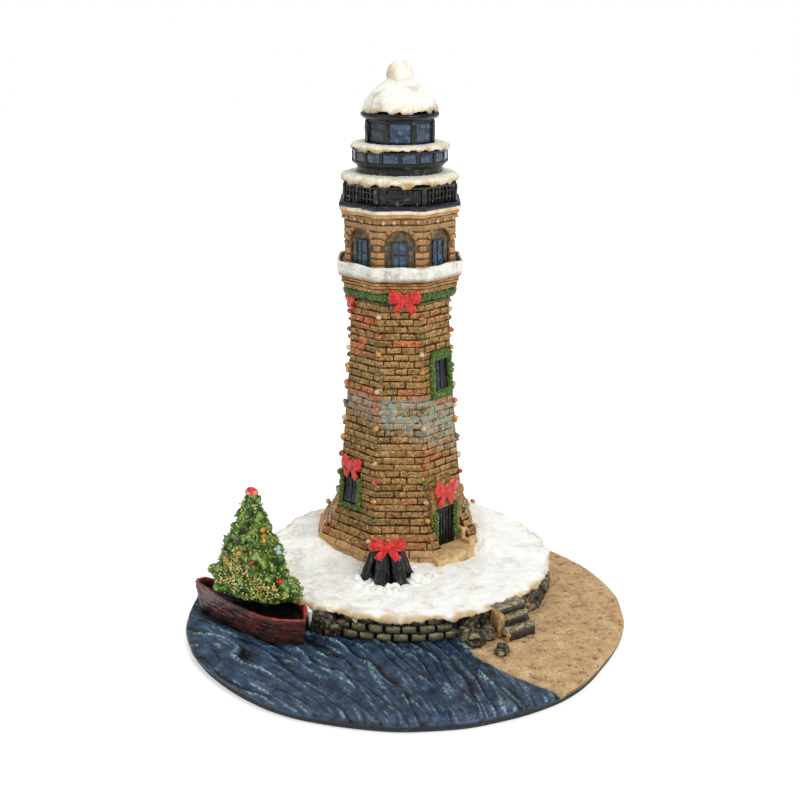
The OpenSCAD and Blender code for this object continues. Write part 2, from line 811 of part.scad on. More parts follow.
module cornice() {
    color("peru") at_tower() difference() {
        union() {
            translate([0, 0, corbel_top]) oct(cornice_af / 2 - 0.3, cornice_h / 2);
            translate([0, 0, corbel_top + cornice_h / 2]) oct(cornice_af / 2, cornice_h / 2);
            peg(corbel_top);
        }
        translate([0, 0, corbel_top - peg_l - 1]) cylinder(d = peg_d / 2, h = peg_l + cornice_h + 2);
    }
}

// An eight-sided dish: a thick floor and a low parapet under snow
module lower_gallery() {
    color("white") at_tower() difference() {
        translate([0, 0, cornice_top]) oct(dish_af / 2, dish_h);
        translate([0, 0, dish_floor]) oct(dish_af / 2 - parapet_t, dish_h);
        translate([0, 0, cornice_top - 1]) cylinder(d = peg_d / 2, h = dish_floor_t + 2);
    }
}

storey_r = storey_af / 2;

module arch_outline() {
    square([arch_w, 2 * (arch_h - arch_w / 2)], center = true);
    translate([0, arch_h - arch_w / 2]) circle(d = arch_w, $fn = 48);
}

// Stone courses with an arched recess in each of the eight sides, on a plain core
module window_storey() {
    courses = floor(storey_h / ashlar_h);
    pitch = storey_h / courses;
    color("peru") at_tower() difference() {
        union() {
            translate([0, 0, dish_floor]) oct(storey_r - 0.35, storey_h);
            for (k = [0:courses - 1]) translate([0, 0, dish_floor + k * pitch + 0.12])
                oct(storey_r, pitch - 0.24);
            peg(dish_floor, peg_d / 2 - 2 * fit, dish_floor_t + cornice_h);
        }
        for (side = [0:7]) rotate([0, 0, side * 45])
            translate([0, -storey_r + arch_deep, dish_floor]) rotate([90, 0, 0])
                linear_extrude(arch_deep + 1) arch_outline();
        peg_hole(storey_top);
    }
}

// Sash windows, each a pane with a frame and a cross bar
module storey_windows() {
    w = arch_window_w;
    frame = 0.45;
    color("steelblue") at_tower(dish_floor) for (side = [0:7]) rotate([0, 0, side * 45])
        translate([-w / 2, -storey_r + arch_deep - seat, 0.1]) {
            translate([0, -0.3, 0]) cube([w, 0.3, arch_window_h]);
            for (x = [0, w - frame]) translate([x, -0.6, 0]) cube([frame, 0.4, arch_window_h]);
            for (z = [0, arch_window_h / 2, arch_window_h - frame]) translate([0, -0.6, z])
                cube([w, 0.4, frame]);
        }
}

module bead_course() {
    per_side = 4;
    color("wheat") at_tower(storey_top - bead_d * 1.2) for (side = [0:7]) rotate([0, 0, side * 45])
        for (i = [0:per_side - 1])
            translate([(i - (per_side - 1) / 2) * storey_af * 0.1, -storey_r - bead_d / 2 - seat / 2, 0])
                sphere(d = bead_d, $fn = 20);
}

module gallery_deck() {
    color("wheat") at_tower() difference() {
        union() {
            translate([0, 0, storey_top]) oct(deck_d / 2 - 0.4, deck_t / 2);
            translate([0, 0, storey_top + deck_t / 2]) oct(deck_d / 2, deck_t / 2);
        }
        peg_hole(deck_top, peg_d, deck_t + 1);
    }
}

// Eight sides with a foot, a top rail, posts and balusters; its peg goes through the deck to the storey
module gallery_railing() {
    r = rail_af / 2;
    foot_h = 1.3;
    rail = 0.7;
    panel_r = r - 0.4;
    panel_w = 2 * panel_r * tan(half);
    color("black") at_tower() difference() {
        union() {
            translate([0, 0, deck_top]) oct(rail_foot_af / 2, foot_h);
            translate([0, 0, deck_top + foot_h - 0.01]) oct(panel_r, rail_h - foot_h - rail + 0.02);
            translate([0, 0, rail_top - rail]) oct(r, rail);
            for (side = [0:7]) rotate([0, 0, side * 45]) {
                for (i = [1:balusters]) translate([(i / (balusters + 1) - 0.5) * panel_w, -panel_r, 0])
                    translate([0, 0, deck_top + foot_h - 0.2])
                        cylinder(d = 0.7, h = rail_h - foot_h - rail + 0.4, $fn = 16);
                rotate([0, 0, half]) translate([0, -panel_r / cos(half) + 0.3, deck_top + foot_h - 0.2])
                    cylinder(d = 1.4, h = rail_h - foot_h - rail + 0.4, $fn = 16);
            }
            peg(deck_top, peg_d, deck_t + peg_l);
        }
        peg_hole(rail_top);
    }
}

// A ring of snow with a sloping top and a scalloped edge
module snow_ring(inner_r, outer_r, z, t) {
    scallops = round(2 * PI * outer_r / ring_scallop_w);
    at_tower(z) difference() {
        union() {
            rotate_extrude() polygon([[inner_r, 0], [outer_r - 0.4, 0], [outer_r - 0.1, t * 0.35],
                [outer_r - 0.5, t * 0.75], [inner_r, t]]);
            for (i = [0:scallops - 1]) rotate([0, 0, (i + 0.3 * scatter(i)) * 360 / scallops])
                translate([outer_r - 0.9, 0, 0])
                    cylinder(d = 1.8, h = t * (0.45 + 0.2 * scatter(i + 9)), $fn = 20);
        }
        translate([0, 0, -1]) cylinder(r = inner_r, h = t + 2);
    }
}

module gallery_snow() {
    color("white") snow_ring(neck_d / 2 + fit, gallery_snow_d / 2, rail_top, gallery_snow_t);
}

module watch_neck() {
    color("black") at_tower() difference() {
        union() {
            translate([0, 0, rail_top]) cylinder(d = neck_d, h = neck_h - 0.8);
            translate([0, 0, neck_top - 0.8]) cylinder(d1 = neck_d, d2 = watch_d - 1, h = 0.8);
            peg(rail_top);
        }
        peg_hole(neck_top);
    }
}

module watch_room() {
    r = watch_d / 2;
    window = 2 * PI * r / watch_windows - 1;
    color("black") at_tower() difference() {
        union() {
            translate([0, 0, neck_top]) cylinder(r = r, h = watch_h);
            peg(neck_top);
        }
        for (i = [0:watch_windows - 1]) rotate([0, 0, (i + 0.5) * 360 / watch_windows])
            translate([r - 0.6, -window / 2, neck_top + 0.8]) cube([2, window, watch_h - 1.6]);
        peg_hole(watch_top);
    }
}

module watch_panes() {
    r = watch_d / 2;
    window = 2 * PI * r / watch_windows - 1;
    color("steelblue") at_tower(neck_top + 0.8) for (i = [0:watch_windows - 1])
        rotate([0, 0, (i + 0.5) * 360 / watch_windows])
            translate([r - 0.6 + seat, -window / 2 + 0.05, 0.05])
                cube([0.3, window - 0.1, watch_h - 1.7]);
}

module upper_snow() {
    color("white") snow_ring(lantern_af / 2 / cos(half) + fit, upper_snow_d / 2, watch_top,
        upper_snow_t);
}

lantern_r = lantern_af / 2;

// An eight-sided frame: sill, head and a bar at each corner, round a core that the panes back on
module lantern_frame() {
    side = 2 * lantern_r * tan(half);
    color("black") at_tower() difference() {
        union() {
            translate([0, 0, watch_top]) oct(lantern_r, lantern_h);
            peg(watch_top);
        }
        for (i = [0:7]) rotate([0, 0, i * 45])
            translate([-side / 2 + bar_w / 2, -lantern_r - 1, watch_top + upper_snow_t - 0.4])
                cube([side - bar_w, 1.7, lantern_h - upper_snow_t - 0.6]);
        peg_hole(lantern_top, peg_d / 2);
    }
}

module lantern_panes() {
    side = 2 * lantern_r * tan(half);
    color("steelblue") at_tower(watch_top + upper_snow_t - 0.4 + 0.05) for (i = [0:7])
        rotate([0, 0, i * 45]) translate([-side / 2 + bar_w / 2 + 0.05, -lantern_r + 0.7 - seat - 0.4, 0])
            cube([side - bar_w - 0.1, 0.4, lantern_h - upper_snow_t - 0.7]);
}

// The cone of the roof under its snow, at the eaves and at its tip
roof_cone_r = roof_d / 2 - 1.6;
roof_tip_r = 2.2;

module lantern_roof() {
    r = roof_d / 2;
    color("black") at_tower() difference() {
        union() {
            translate([0, 0, lantern_top]) rotate_extrude() polygon([[0, 0], [r - 1.2, 0], [r - 0.3, 0.5],
                [r, 1], [r - 0.3, eaves_t], [0, eaves_t]]);
            translate([0, 0, eaves_top]) cylinder(r1 = roof_cone_r, r2 = roof_tip_r, h = roof_h);
            peg(lantern_top, peg_d / 2);
        }
        translate([0, 0, eaves_top + roof_h - peg_l]) cylinder(d = ball_d / 3 + 2 * fit, h = peg_l + 1);
    }
}

// A dome of snow over the roof, hollowed to the roof below and the ball above
module roof_snow() {
    r = roof_d / 2 - 0.6;
    steps = 8;
    dome = [for (i = [0:steps]) [r * cos(75 * i / steps), i / steps * roof_snow_h]];
    color("white") at_tower(eaves_top) difference() {
        rotate_extrude() polygon(concat([[0, 0]], dome, [[0, roof_snow_h]]));
        translate([0, 0, -0.01])
            cylinder(r1 = roof_cone_r + fit, r2 = roof_tip_r + fit, h = roof_h + fit);
        translate([0, 0, ball_z - eaves_top]) sphere(d = ball_d + 2 * seat);
        cylinder(d = ball_d / 3 + 2 * fit, h = roof_snow_h);
    }
}

module roof_ball() {
    low = eaves_top + roof_h - peg_l + fit;
    color("ivory") at_tower() {
        translate([0, 0, ball_z]) sphere(d = ball_d);
        translate([0, 0, low]) cylinder(d = ball_d / 3, h = ball_z - low);
    }
}

// The hull swells from the waterline to the gunwale, round a well with a flat deck
module boat_hull() {
    color("maroon") {
        difference() {
            union() {
                at_boat(ground_z) hull() {
                    linear_extrude(0.1) polygon(boat_outline(boat_w - 2.6, boat_l - 0.8));
                    translate([0, 0, boat_h - 0.1]) linear_extrude(0.1)
                        polygon(boat_outline(boat_w, boat_l));
                }
                at_boat() peg(ground_z, trunk_d, keel_l);
            }
            at_boat(ground_z + boat_h - deck_depth - 0.6) linear_extrude(boat_h)
                polygon(boat_outline(boat_w - 2 * boat_wall - 1.2, boat_l - 2 * boat_wall - 1.2));
            at_tree() peg_hole(tree_foot - 0.6, trunk_d - 1, 2);
        }
    }
}

module boat_rail() {
    color("firebrick") at_boat(ground_z + boat_h) linear_extrude(0.7) difference() {
        polygon(boat_outline(boat_w, boat_l));
        polygon(boat_outline(boat_w - 2 * boat_wall - 1.2, boat_l - 2 * boat_wall - 1.2));
    }
}

module boat_deck() {
    color("black") at_boat(ground_z + boat_h - deck_depth - 0.6) difference() {
        linear_extrude(0.6)
            polygon(boat_outline(boat_w - 2 * boat_wall - 1.5, boat_l - 2 * boat_wall - 1.5));
        translate([0, -tree_in, -1]) cylinder(d = trunk_d + 2 * fit, h = 3);
    }
}

tree_foot = ground_z + boat_h - deck_depth;
branch_z = tree_foot + deck_depth + 1.6;
tier_pitch = (tree_foot + tree_h - branch_z) / tiers;
// The share of the tree's width that is left at the foot of one tier, and at its top
function tier_share(k) = 1 - 0.88 * k / tiers;
function tier_top_share(k) = tier_share(k + 1) * 0.8;

module at_tree(z = 0) {
    at_boat(z) translate([0, -tree_in, 0]) children();
}

module tree_trunk() {
    color("saddlebrown") at_tree() {
        translate([0, 0, tree_foot - 0.6]) cylinder(d = trunk_d, h = branch_z - tree_foot + 0.6);
        peg(tree_foot - 0.6, trunk_d - 1, 2);
    }
}

// An oval with its long way along the boat
module tree_oval(share) {
    n = 28;
    linear_extrude(0.05) polygon([for (i = [0:n - 1])
        share / 2 * [tree_w * cos(i * 360 / n), tree_deep * sin(i * 360 / n)]]);
}

// Tiers of branches, each drawn in above its foot
module tree() {
    color("forestgreen") for (k = [0:tiers - 1]) hull() {
        at_tree(branch_z + k * tier_pitch) tree_oval(tier_share(k));
        at_tree(branch_z + (k + 1) * tier_pitch - 0.05) tree_oval(tier_top_share(k));
    }
}

// Small balls against the branches, a third of the way up each tier
module tree_baubles() {
    d = 1.5;
    up = 0.3;
    color("firebrick") for (k = [0:tiers - 2], i = [0:3]) {
        a = i * 90 + k * 35;
        share = tier_share(k) + (tier_top_share(k) - tier_share(k)) * up;
        at_tree(branch_z + (k + up) * tier_pitch)
            translate([(share * tree_w / 2 + d / 2 + 0.1) * cos(a),
                (share * tree_deep / 2 + d / 2 + 0.1) * sin(a), 0]) sphere(d = d, $fn = 24);
    }
}

module tree_tip() {
    r = tree_deep / 2 * tier_top_share(tiers - 1);
    color("red") at_tree(tree_foot + tree_h) cylinder(r1 = r, r2 = r * 0.5, h = 1.2);
}

// Leaning piles, cut level where they stand and at their heads
module pile_group(d, low) {
    rise = pile_h + 4;
    spread = (pile_foot_r - pile_head_r) * rise / pile_h;
    translate([pile_at[0], pile_at[1], core_top]) intersection() {
        for (i = [0:piles - 1]) rotate([0, 0, i * 360 / piles - 48])
            translate([pile_foot_r, 0, 0]) rotate([0, -atan2(spread, rise), 0])
                translate([0, 0, -2]) cylinder(d = d, h = norm([spread, rise]), $fn = 32);
        translate([0, 0, low - core_top]) cylinder(r = pile_foot_r * 4, h = pile_h - low + core_top);
    }
}

module mooring_piles() {
    color("black") pile_group(pile_d, core_top);
}

// A wide bow across the heads of the front piles
module pile_bow() {
    out = pile_head_r + pile_d / 2 + 0.3;
    color("red") translate([pile_at[0], pile_at[1] - out, core_top + pile_h + 0.8])
        bow(bow_w * 1.1, 1.6);
}

base_plate();
sea();
beach();
island_core();
seawall_blocks();
rocks_left();
rocks_right();
beach_rocks();
beach_steps();
snow_blanket();
icicle();
tower_plinth();
door_step();
tower_shaft();
door_surround();
door_leaves();
door_sprigs();
door_bow();
low_window_pane();
low_window_sprigs();
low_window_bow();
high_window_pane();
high_window_sprigs();
bulbs_white();
bulbs_red();
bulbs_amber();
bulbs_green();
corbel();
garland_ring();
garland_bows();
cornice();
lower_gallery();
window_storey();
storey_windows();
bead_course();
gallery_deck();
gallery_railing();
gallery_snow();
watch_neck();
watch_room();
watch_panes();
upper_snow();
lantern_frame();
lantern_panes();
lantern_roof();
roof_snow();
roof_ball();
boat_hull();
boat_rail();
boat_deck();
tree_trunk();
tree();
tree_baubles();
tree_tip();
mooring_piles();
pile_bow();
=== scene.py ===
import json
import math
import random

import bpy
import numpy as np
from mathutils import Matrix, Vector, noise

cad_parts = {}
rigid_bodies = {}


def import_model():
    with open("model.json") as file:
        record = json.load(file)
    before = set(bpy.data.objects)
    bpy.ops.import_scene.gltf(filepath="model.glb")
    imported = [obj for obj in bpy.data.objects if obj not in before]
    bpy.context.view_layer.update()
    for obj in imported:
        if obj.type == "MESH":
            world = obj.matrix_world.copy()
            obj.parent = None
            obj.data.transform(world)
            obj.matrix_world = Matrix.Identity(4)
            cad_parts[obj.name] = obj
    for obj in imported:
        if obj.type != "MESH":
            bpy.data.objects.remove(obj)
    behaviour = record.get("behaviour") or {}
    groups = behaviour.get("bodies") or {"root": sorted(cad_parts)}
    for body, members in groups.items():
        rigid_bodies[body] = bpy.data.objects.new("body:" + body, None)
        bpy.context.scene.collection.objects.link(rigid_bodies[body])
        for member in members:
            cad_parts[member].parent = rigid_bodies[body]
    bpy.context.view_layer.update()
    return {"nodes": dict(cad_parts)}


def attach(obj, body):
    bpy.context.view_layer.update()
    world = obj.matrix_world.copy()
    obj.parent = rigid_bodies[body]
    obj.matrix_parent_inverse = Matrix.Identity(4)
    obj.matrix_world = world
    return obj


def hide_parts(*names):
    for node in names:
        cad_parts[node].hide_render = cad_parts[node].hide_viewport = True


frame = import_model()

bpy.ops.object.select_all(action="DESELECT")

# The set: a white table, three soft studio lamps and the camera, which looks down at the ornament
# from a little above its own height, as the photograph does.
mm = 0.001
scene = bpy.context.scene
scene.view_settings.view_transform = "Standard"

bpy.ops.object.camera_add(location=(-1.5 * mm, -354.9 * mm, 176 * mm), rotation=(math.radians(72.7), 0, 0))
scene.camera = bpy.context.object
scene.camera.data.sensor_width = 36
scene.camera.data.lens = 62.28
scene.camera.data.clip_start = 0.01


def linear(code):
    """A colour for Blender from its sRGB hex code."""
    shares = [int(code[i:i + 2], 16) / 255 for i in (0, 2, 4)]
    return (*[s / 12.92 if s <= 0.04045 else ((s + 0.055) / 1.055) ** 2.4 for s in shares], 1.0)


def add(tree, kind, inputs=None, stops="", **settings):
    """Adds a node; an input is a value or the output that feeds it, and stops are percents and colours."""
    made = tree.nodes.new("ShaderNode" + kind)
    for key, value in settings.items():
        setattr(made, key, value)
    if stops:
        ramp, words = made.color_ramp, stops.split()
        while len(ramp.elements) < len(words) / 2:
            ramp.elements.new(0.5)
        for element, percent, code in zip(ramp.elements, words[::2], words[1::2]):
            element.position = int(percent) / 100
            element.color = linear(code)
    for key, value in (inputs or {}).items():
        if isinstance(value, bpy.types.NodeSocket):
            tree.links.new(value, made.inputs[key])
        else:
            made.inputs[key].default_value = value
    return made


def maths(tree, operation, *values, **settings):
    return add(tree, "Math", dict(enumerate(values)), operation=operation, **settings).outputs[0]


def fit(tree, value, low, high, new_low=0.0, new_high=1.0):
    """Stretches a range of a value to a new range."""
    ends = {"From Min": low, "From Max": high, "To Min": new_low, "To Max": new_high}
    return add(tree, "MapRange", {"Value": value, **ends}).outputs[0]


bpy.ops.mesh.primitive_plane_add(size=3, location=(0, 0, -0.05 * mm))
table = bpy.context.object
table.name = "table"
table_white = bpy.data.materials.new("white_table")
table_white.use_nodes = True
tree = table_white.node_tree
cloth = tree.nodes["Principled BSDF"].inputs
cloth["Base Color"].default_value = linear("F4F4F2")
cloth["Roughness"].default_value = 0.9
rays = add(tree, "LightPath").outputs
seen = maths(tree, "MAXIMUM", rays["Is Camera Ray"], rays["Is Glossy Ray"])
seen = maths(tree, "MAXIMUM", seen, rays["Is Transmission Ray"])
spot = add(tree, "VectorMath", {0: add(tree, "TexCoord").outputs["Object"]}, operation="LENGTH").outputs["Value"]
bright = maths(tree, "MULTIPLY", seen, fit(tree, spot, 0.1, 0.5, 0.42))
cloth["Emission Color"].default_value = linear("FFFFFF")
tree.links.new(bright, cloth["Emission Strength"])
table.data.materials.append(table_white)

scene.world = bpy.data.worlds.new("pale_room")
scene.world.use_nodes = True
tree = scene.world.node_tree
sky = tree.nodes["Background"].inputs
sky["Color"].default_value = linear("FFFFFF")
rays = add(tree, "LightPath").outputs
seen = maths(tree, "MAXIMUM", rays["Is Camera Ray"], rays["Is Transmission Ray"])
tree.links.new(fit(tree, seen, 0, 1, 0.42), sky["Strength"])

for name, place, size, power in (
        ("key", (430, -520, 560), 420, 4.3), ("fill", (-620, -420, 330), 600, 1.5), ("top", (-60, 240, 760), 500, 2.2)):
    bpy.ops.object.light_add(type="AREA", location=[p * mm for p in place])
    lamp = bpy.context.object
    lamp.name = name
    lamp.data.size = size * mm
    lamp.data.energy = power
    lamp.rotation_euler = (Vector((0, 0, 60 * mm)) - lamp.location).to_track_quat("-Z", "Y").to_euler()

# The base: one flat plate of cast resin under the sea and the beach, left rough where it was
# poured, with a matt grey brown paint on its edge.


def unit(values):
    return np.clip(values, 0, 1)


def bump(values, width):
    """One at zero, falling off to both sides."""
    return np.exp(-(values / width) ** 2)


def read_corners(source, key):
    flat = np.empty(len(source) * 3)
    source.foreach_get(key, flat)
    return flat.reshape(-1, 3)


def corners(piece):
    """The corners of a mesh, in mm."""
    return read_corners(piece.data.vertices, "co") / mm


def move_corners(piece, points):
    piece.data.vertices.foreach_set("co", (np.asarray(points) * mm).ravel())
    piece.data.update()


def push_out(piece, heights):
    """Moves each corner by a height along the direction in which the surface faces there."""
    normals = read_corners(piece.data.vertex_normals, "vector")
    move_corners(piece, corners(piece) + normals * heights[:, None])


def lumps(points, size, octaves=2, seed=0.0):
    """Smooth random heights from about -1 to 1, with bumps of a size in mm."""
    shift = Vector((seed * 17.3, seed * 5.1, -seed * 9.7))
    return np.array([noise.fractal(Vector(p) / size + shift, 1.0, 2.0, octaves) for p in points]) * 1.4


def flat_lumps(x, y, size, octaves=2, seed=0.0):
    return lumps(np.column_stack([x, y, np.zeros(len(x))]), size, octaves, seed)


def circle(turn, r, z=0.0):
    """Points on a circle, where lumps are read that have to close on themselves."""
    return np.column_stack([np.cos(turn) * r, np.sin(turn) * r, np.zeros(len(turn)) + z])


def edited(step, **settings):
    """Runs one modelling step on all of the active mesh."""
    bpy.ops.object.mode_set(mode="EDIT")
    bpy.ops.mesh.select_all(action="SELECT")
    step(**settings)
    bpy.ops.object.mode_set(mode="OBJECT")


def wrapped(columns, rows, place):
    """A grid whose corner at shares u and v of its length and height goes to place(u, v), closed where it meets."""
    bpy.ops.mesh.primitive_grid_add(x_subdivisions=columns, y_subdivisions=rows, size=2)
    piece = bpy.context.object
    u, v, _ = (corners(piece).T * mm + 1) / 2
    move_corners(piece, np.column_stack(place(u, v)))
    edited(bpy.ops.mesh.remove_doubles, threshold=0.002 * mm)
    edited(bpy.ops.mesh.normals_make_consistent, inside=False)
    return piece


def mark(piece, **named):
    """Keeps numbers for each corner, which the paint reads."""
    for name, values in named.items():
        held = piece.data.attributes.new(name, "FLOAT", "POINT")
        held.data.foreach_set("value", np.asarray(values, dtype=np.float32))


def roughen(piece, size, height, octaves=3, seed=0.0):
    """Moves each corner in or out along its normal by a random height."""
    push_out(piece, lumps(corners(piece), size, octaves, seed) * height)


def mix(tree, share, below, above):
    return add(tree, "Mix", {0: share, 6: below, 7: above}, data_type="RGBA").outputs[2]


def clouds(tree, where, size, detail, **settings):
    """Random patches of a size in mm."""
    inputs = {"Vector": where, "Scale": 1 / (size * mm), "Detail": detail, **settings}
    return add(tree, "TexNoise", inputs).outputs["Fac"]


def kept(tree, name):
    return add(tree, "Attribute", attribute_name=name).outputs["Fac"]


def painted(name, colours, patch, wash_and_shade=None, brush_and_light=None, tones=None, specks=(), roughness=0.6, coat=0.0,
            grain=0.3, relief=0.1, metallic=0.0, glare=0.5, mottle=0.12):
    """Paint on cast resin: patches of its colours, a dark colour where darkening is marked and a brushed colour on the
    tips; on some pieces these are a wash in the hollows and dry-brushing, on others painted shade, painted highlights
    and painted glints.
    """
    made = bpy.data.materials.new(name)
    made.use_nodes = True
    tree = made.node_tree
    shader = tree.nodes["Principled BSDF"].inputs
    where = add(tree, "TexCoord").outputs["Object"]
    stains = clouds(tree, where, patch, 5.0, Roughness=0.62)
    colour = add(tree, "ValToRGB", {"Fac": stains}, colours).outputs["Color"]
    if tones:
        own = add(tree, "ValToRGB", {"Fac": kept(tree, "tone")}, tones).outputs["Color"]
        colour = mix(tree, 0.72, colour, own)
    fine = clouds(tree, where, grain, 3.0)
    # The brushed colour on the tips: dry-brushing on some pieces, and on others painted highlights, painted glints and,
    # on the snow, painted shade.
    if brush_and_light:
        tip = kept(tree, "tip")
        streak = fit(tree, clouds(tree, where, 0.9, 4.0), 0.38, 0.62)
        colour = mix(tree, maths(tree, "MULTIPLY", tip, streak, use_clamp=True), colour, linear(brush_and_light))
    # The dark colour where darkening is marked: a wash in hollows on some pieces, painted shade on others.
    if wash_and_shade:
        hollow = kept(tree, "hollow")
        uneven = fit(tree, stains, 0, 1, 1.35, 0.55)
        colour = mix(tree, maths(tree, "MULTIPLY", hollow, uneven, use_clamp=True), colour, linear(wash_and_shade))
    for code, size, share in specks:
        dots = fit(tree, clouds(tree, where, size, 1.0), 1 - share, 1.03 - share)
        colour = mix(tree, dots, colour, linear(code))
    shade = fit(tree, fine, 0.34, 0.66, 1 - mottle * 1.4, 1 + mottle)
    colour = add(tree, "HueSaturation", {"Value": shade, "Color": colour}).outputs["Color"]
    tree.links.new(colour, shader["Base Color"])
    tree.links.new(fit(tree, stains, 0, 1, roughness - 0.12, roughness + 0.12), shader["Roughness"])
    bumps = add(tree, "Bump", {"Height": fine, "Strength": 1.0, "Distance": relief * mm})
    tree.links.new(bumps.outputs[0], shader["Normal"])
    for key, value in {"Specular IOR Level": glare, "Coat Weight": coat, "Coat Roughness": 0.12,
                       "Metallic": metallic}.items():
        shader[key].default_value = value
    return made


def pick(*pieces):
    bpy.ops.object.select_all(action="DESELECT")
    for piece in pieces:
        piece.select_set(True)
    bpy.context.view_layer.objects.active = pieces[0]


def settle(piece, name, material, slot, *nodes, smooth=38):
    """Names and paints a finished piece and fixes it to the casting, in place of its plain solids."""
    piece.name = piece.data.name = name
    piece.data.materials.clear()
    piece.data.materials.append(material)
    pick(piece)
    bpy.ops.object.transform_apply(location=True, rotation=True, scale=True)
    bpy.ops.object.shade_smooth_by_angle(angle=math.radians(smooth))
    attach(piece, "root")
    if nodes:
        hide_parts(*nodes)
    bpy.ops.object.select_all(action="DESELECT")


rim_r, ground = 61.5, 4.0


def rim(turn):
    """The hand-cut outline of the base, which is up to a millimetre inside the full circle."""
    way = circle(turn, 30)
    chips = np.clip(0.35 + lumps(way, 14, 2, 3.0) * 0.5 + lumps(way, 4, 1, 4.0) * 0.16, 0.02, 1.1)
    return rim_r - chips - 1.1 * bump(np.angle(np.exp(1j * (turn + 0.5))), 0.3)


def plate_place(u, v):
    turn, step = u * 2 * np.pi, np.round(v * 5).astype(int)
    reach = (rim(turn) - np.array([0, 1.6, 0.9, 0.9, 1.1, 0])[step]) * (step % 5 > 0)
    return reach * np.cos(turn), reach * np.sin(turn), np.array([0, 0, 0.35, 1.5, 1.9, 1.9])[step]


plate = wrapped(256, 5, plate_place)
settle(plate, "base_plate_cast", painted(
    "navy_washed_resin", "35 10151B 65 222A33", 4, specks=[("4A463E", 1.2, 0.34)], roughness=0.7, grain=0.5,
    relief=0.06),
    "base_resin", "base_plate")

# The sea and the beach: the top of the base casting. The sea is carved in long ridges, painted navy with
# painted shade in the grooves and dry-brushed pale blue on the crests, which also stands as their painted
# highlight; the beach is sand-coloured, pitted and speckled, and both fade green at the shore.
island_y = 20.0
boat_at, boat_turn = np.array([-42.4, -6.1]), math.radians(146)
boat_cos, boat_sin = math.cos(boat_turn), math.sin(boat_turn)
shore = [(14.2, -15.2), (14.5, -30.0), (38.7, -47.8)]
rings, rim_rings = 165, 6
wave_length, crest_share = 4.6, 0.86


def shore_distance(x, y):
    """Distance to the shore line in mm, above zero on the sand."""
    t = np.linspace(0, 1.4, 90)
    line = [(1 - t) ** 2 * a + 2 * t * (1 - t) * b + t ** 2 * c for a, b, c in zip(*shore)]
    line = [np.append(np.linspace(first, part[0], 30)[:-1], part) for first, part in zip((shore[0][0], 64), line)]
    along = [np.gradient(side) for side in line]
    gaps = (x[:, None] - line[0]) ** 2 + (y[:, None] - line[1]) ** 2
    nearest = np.argmin(gaps, axis=1)
    side = along[0][nearest] * (y - line[1][nearest]) - along[1][nearest] * (x - line[0][nearest])
    return np.sqrt(gaps.min(axis=1)) * np.where(side < 0, -1, 1)


def in_boat(x, y, at=boat_at):
    """How far a point lies along the boat and across it."""
    x, y = x - at[0], y - at[1]
    return x * boat_cos + y * boat_sin, y * boat_cos - x * boat_sin


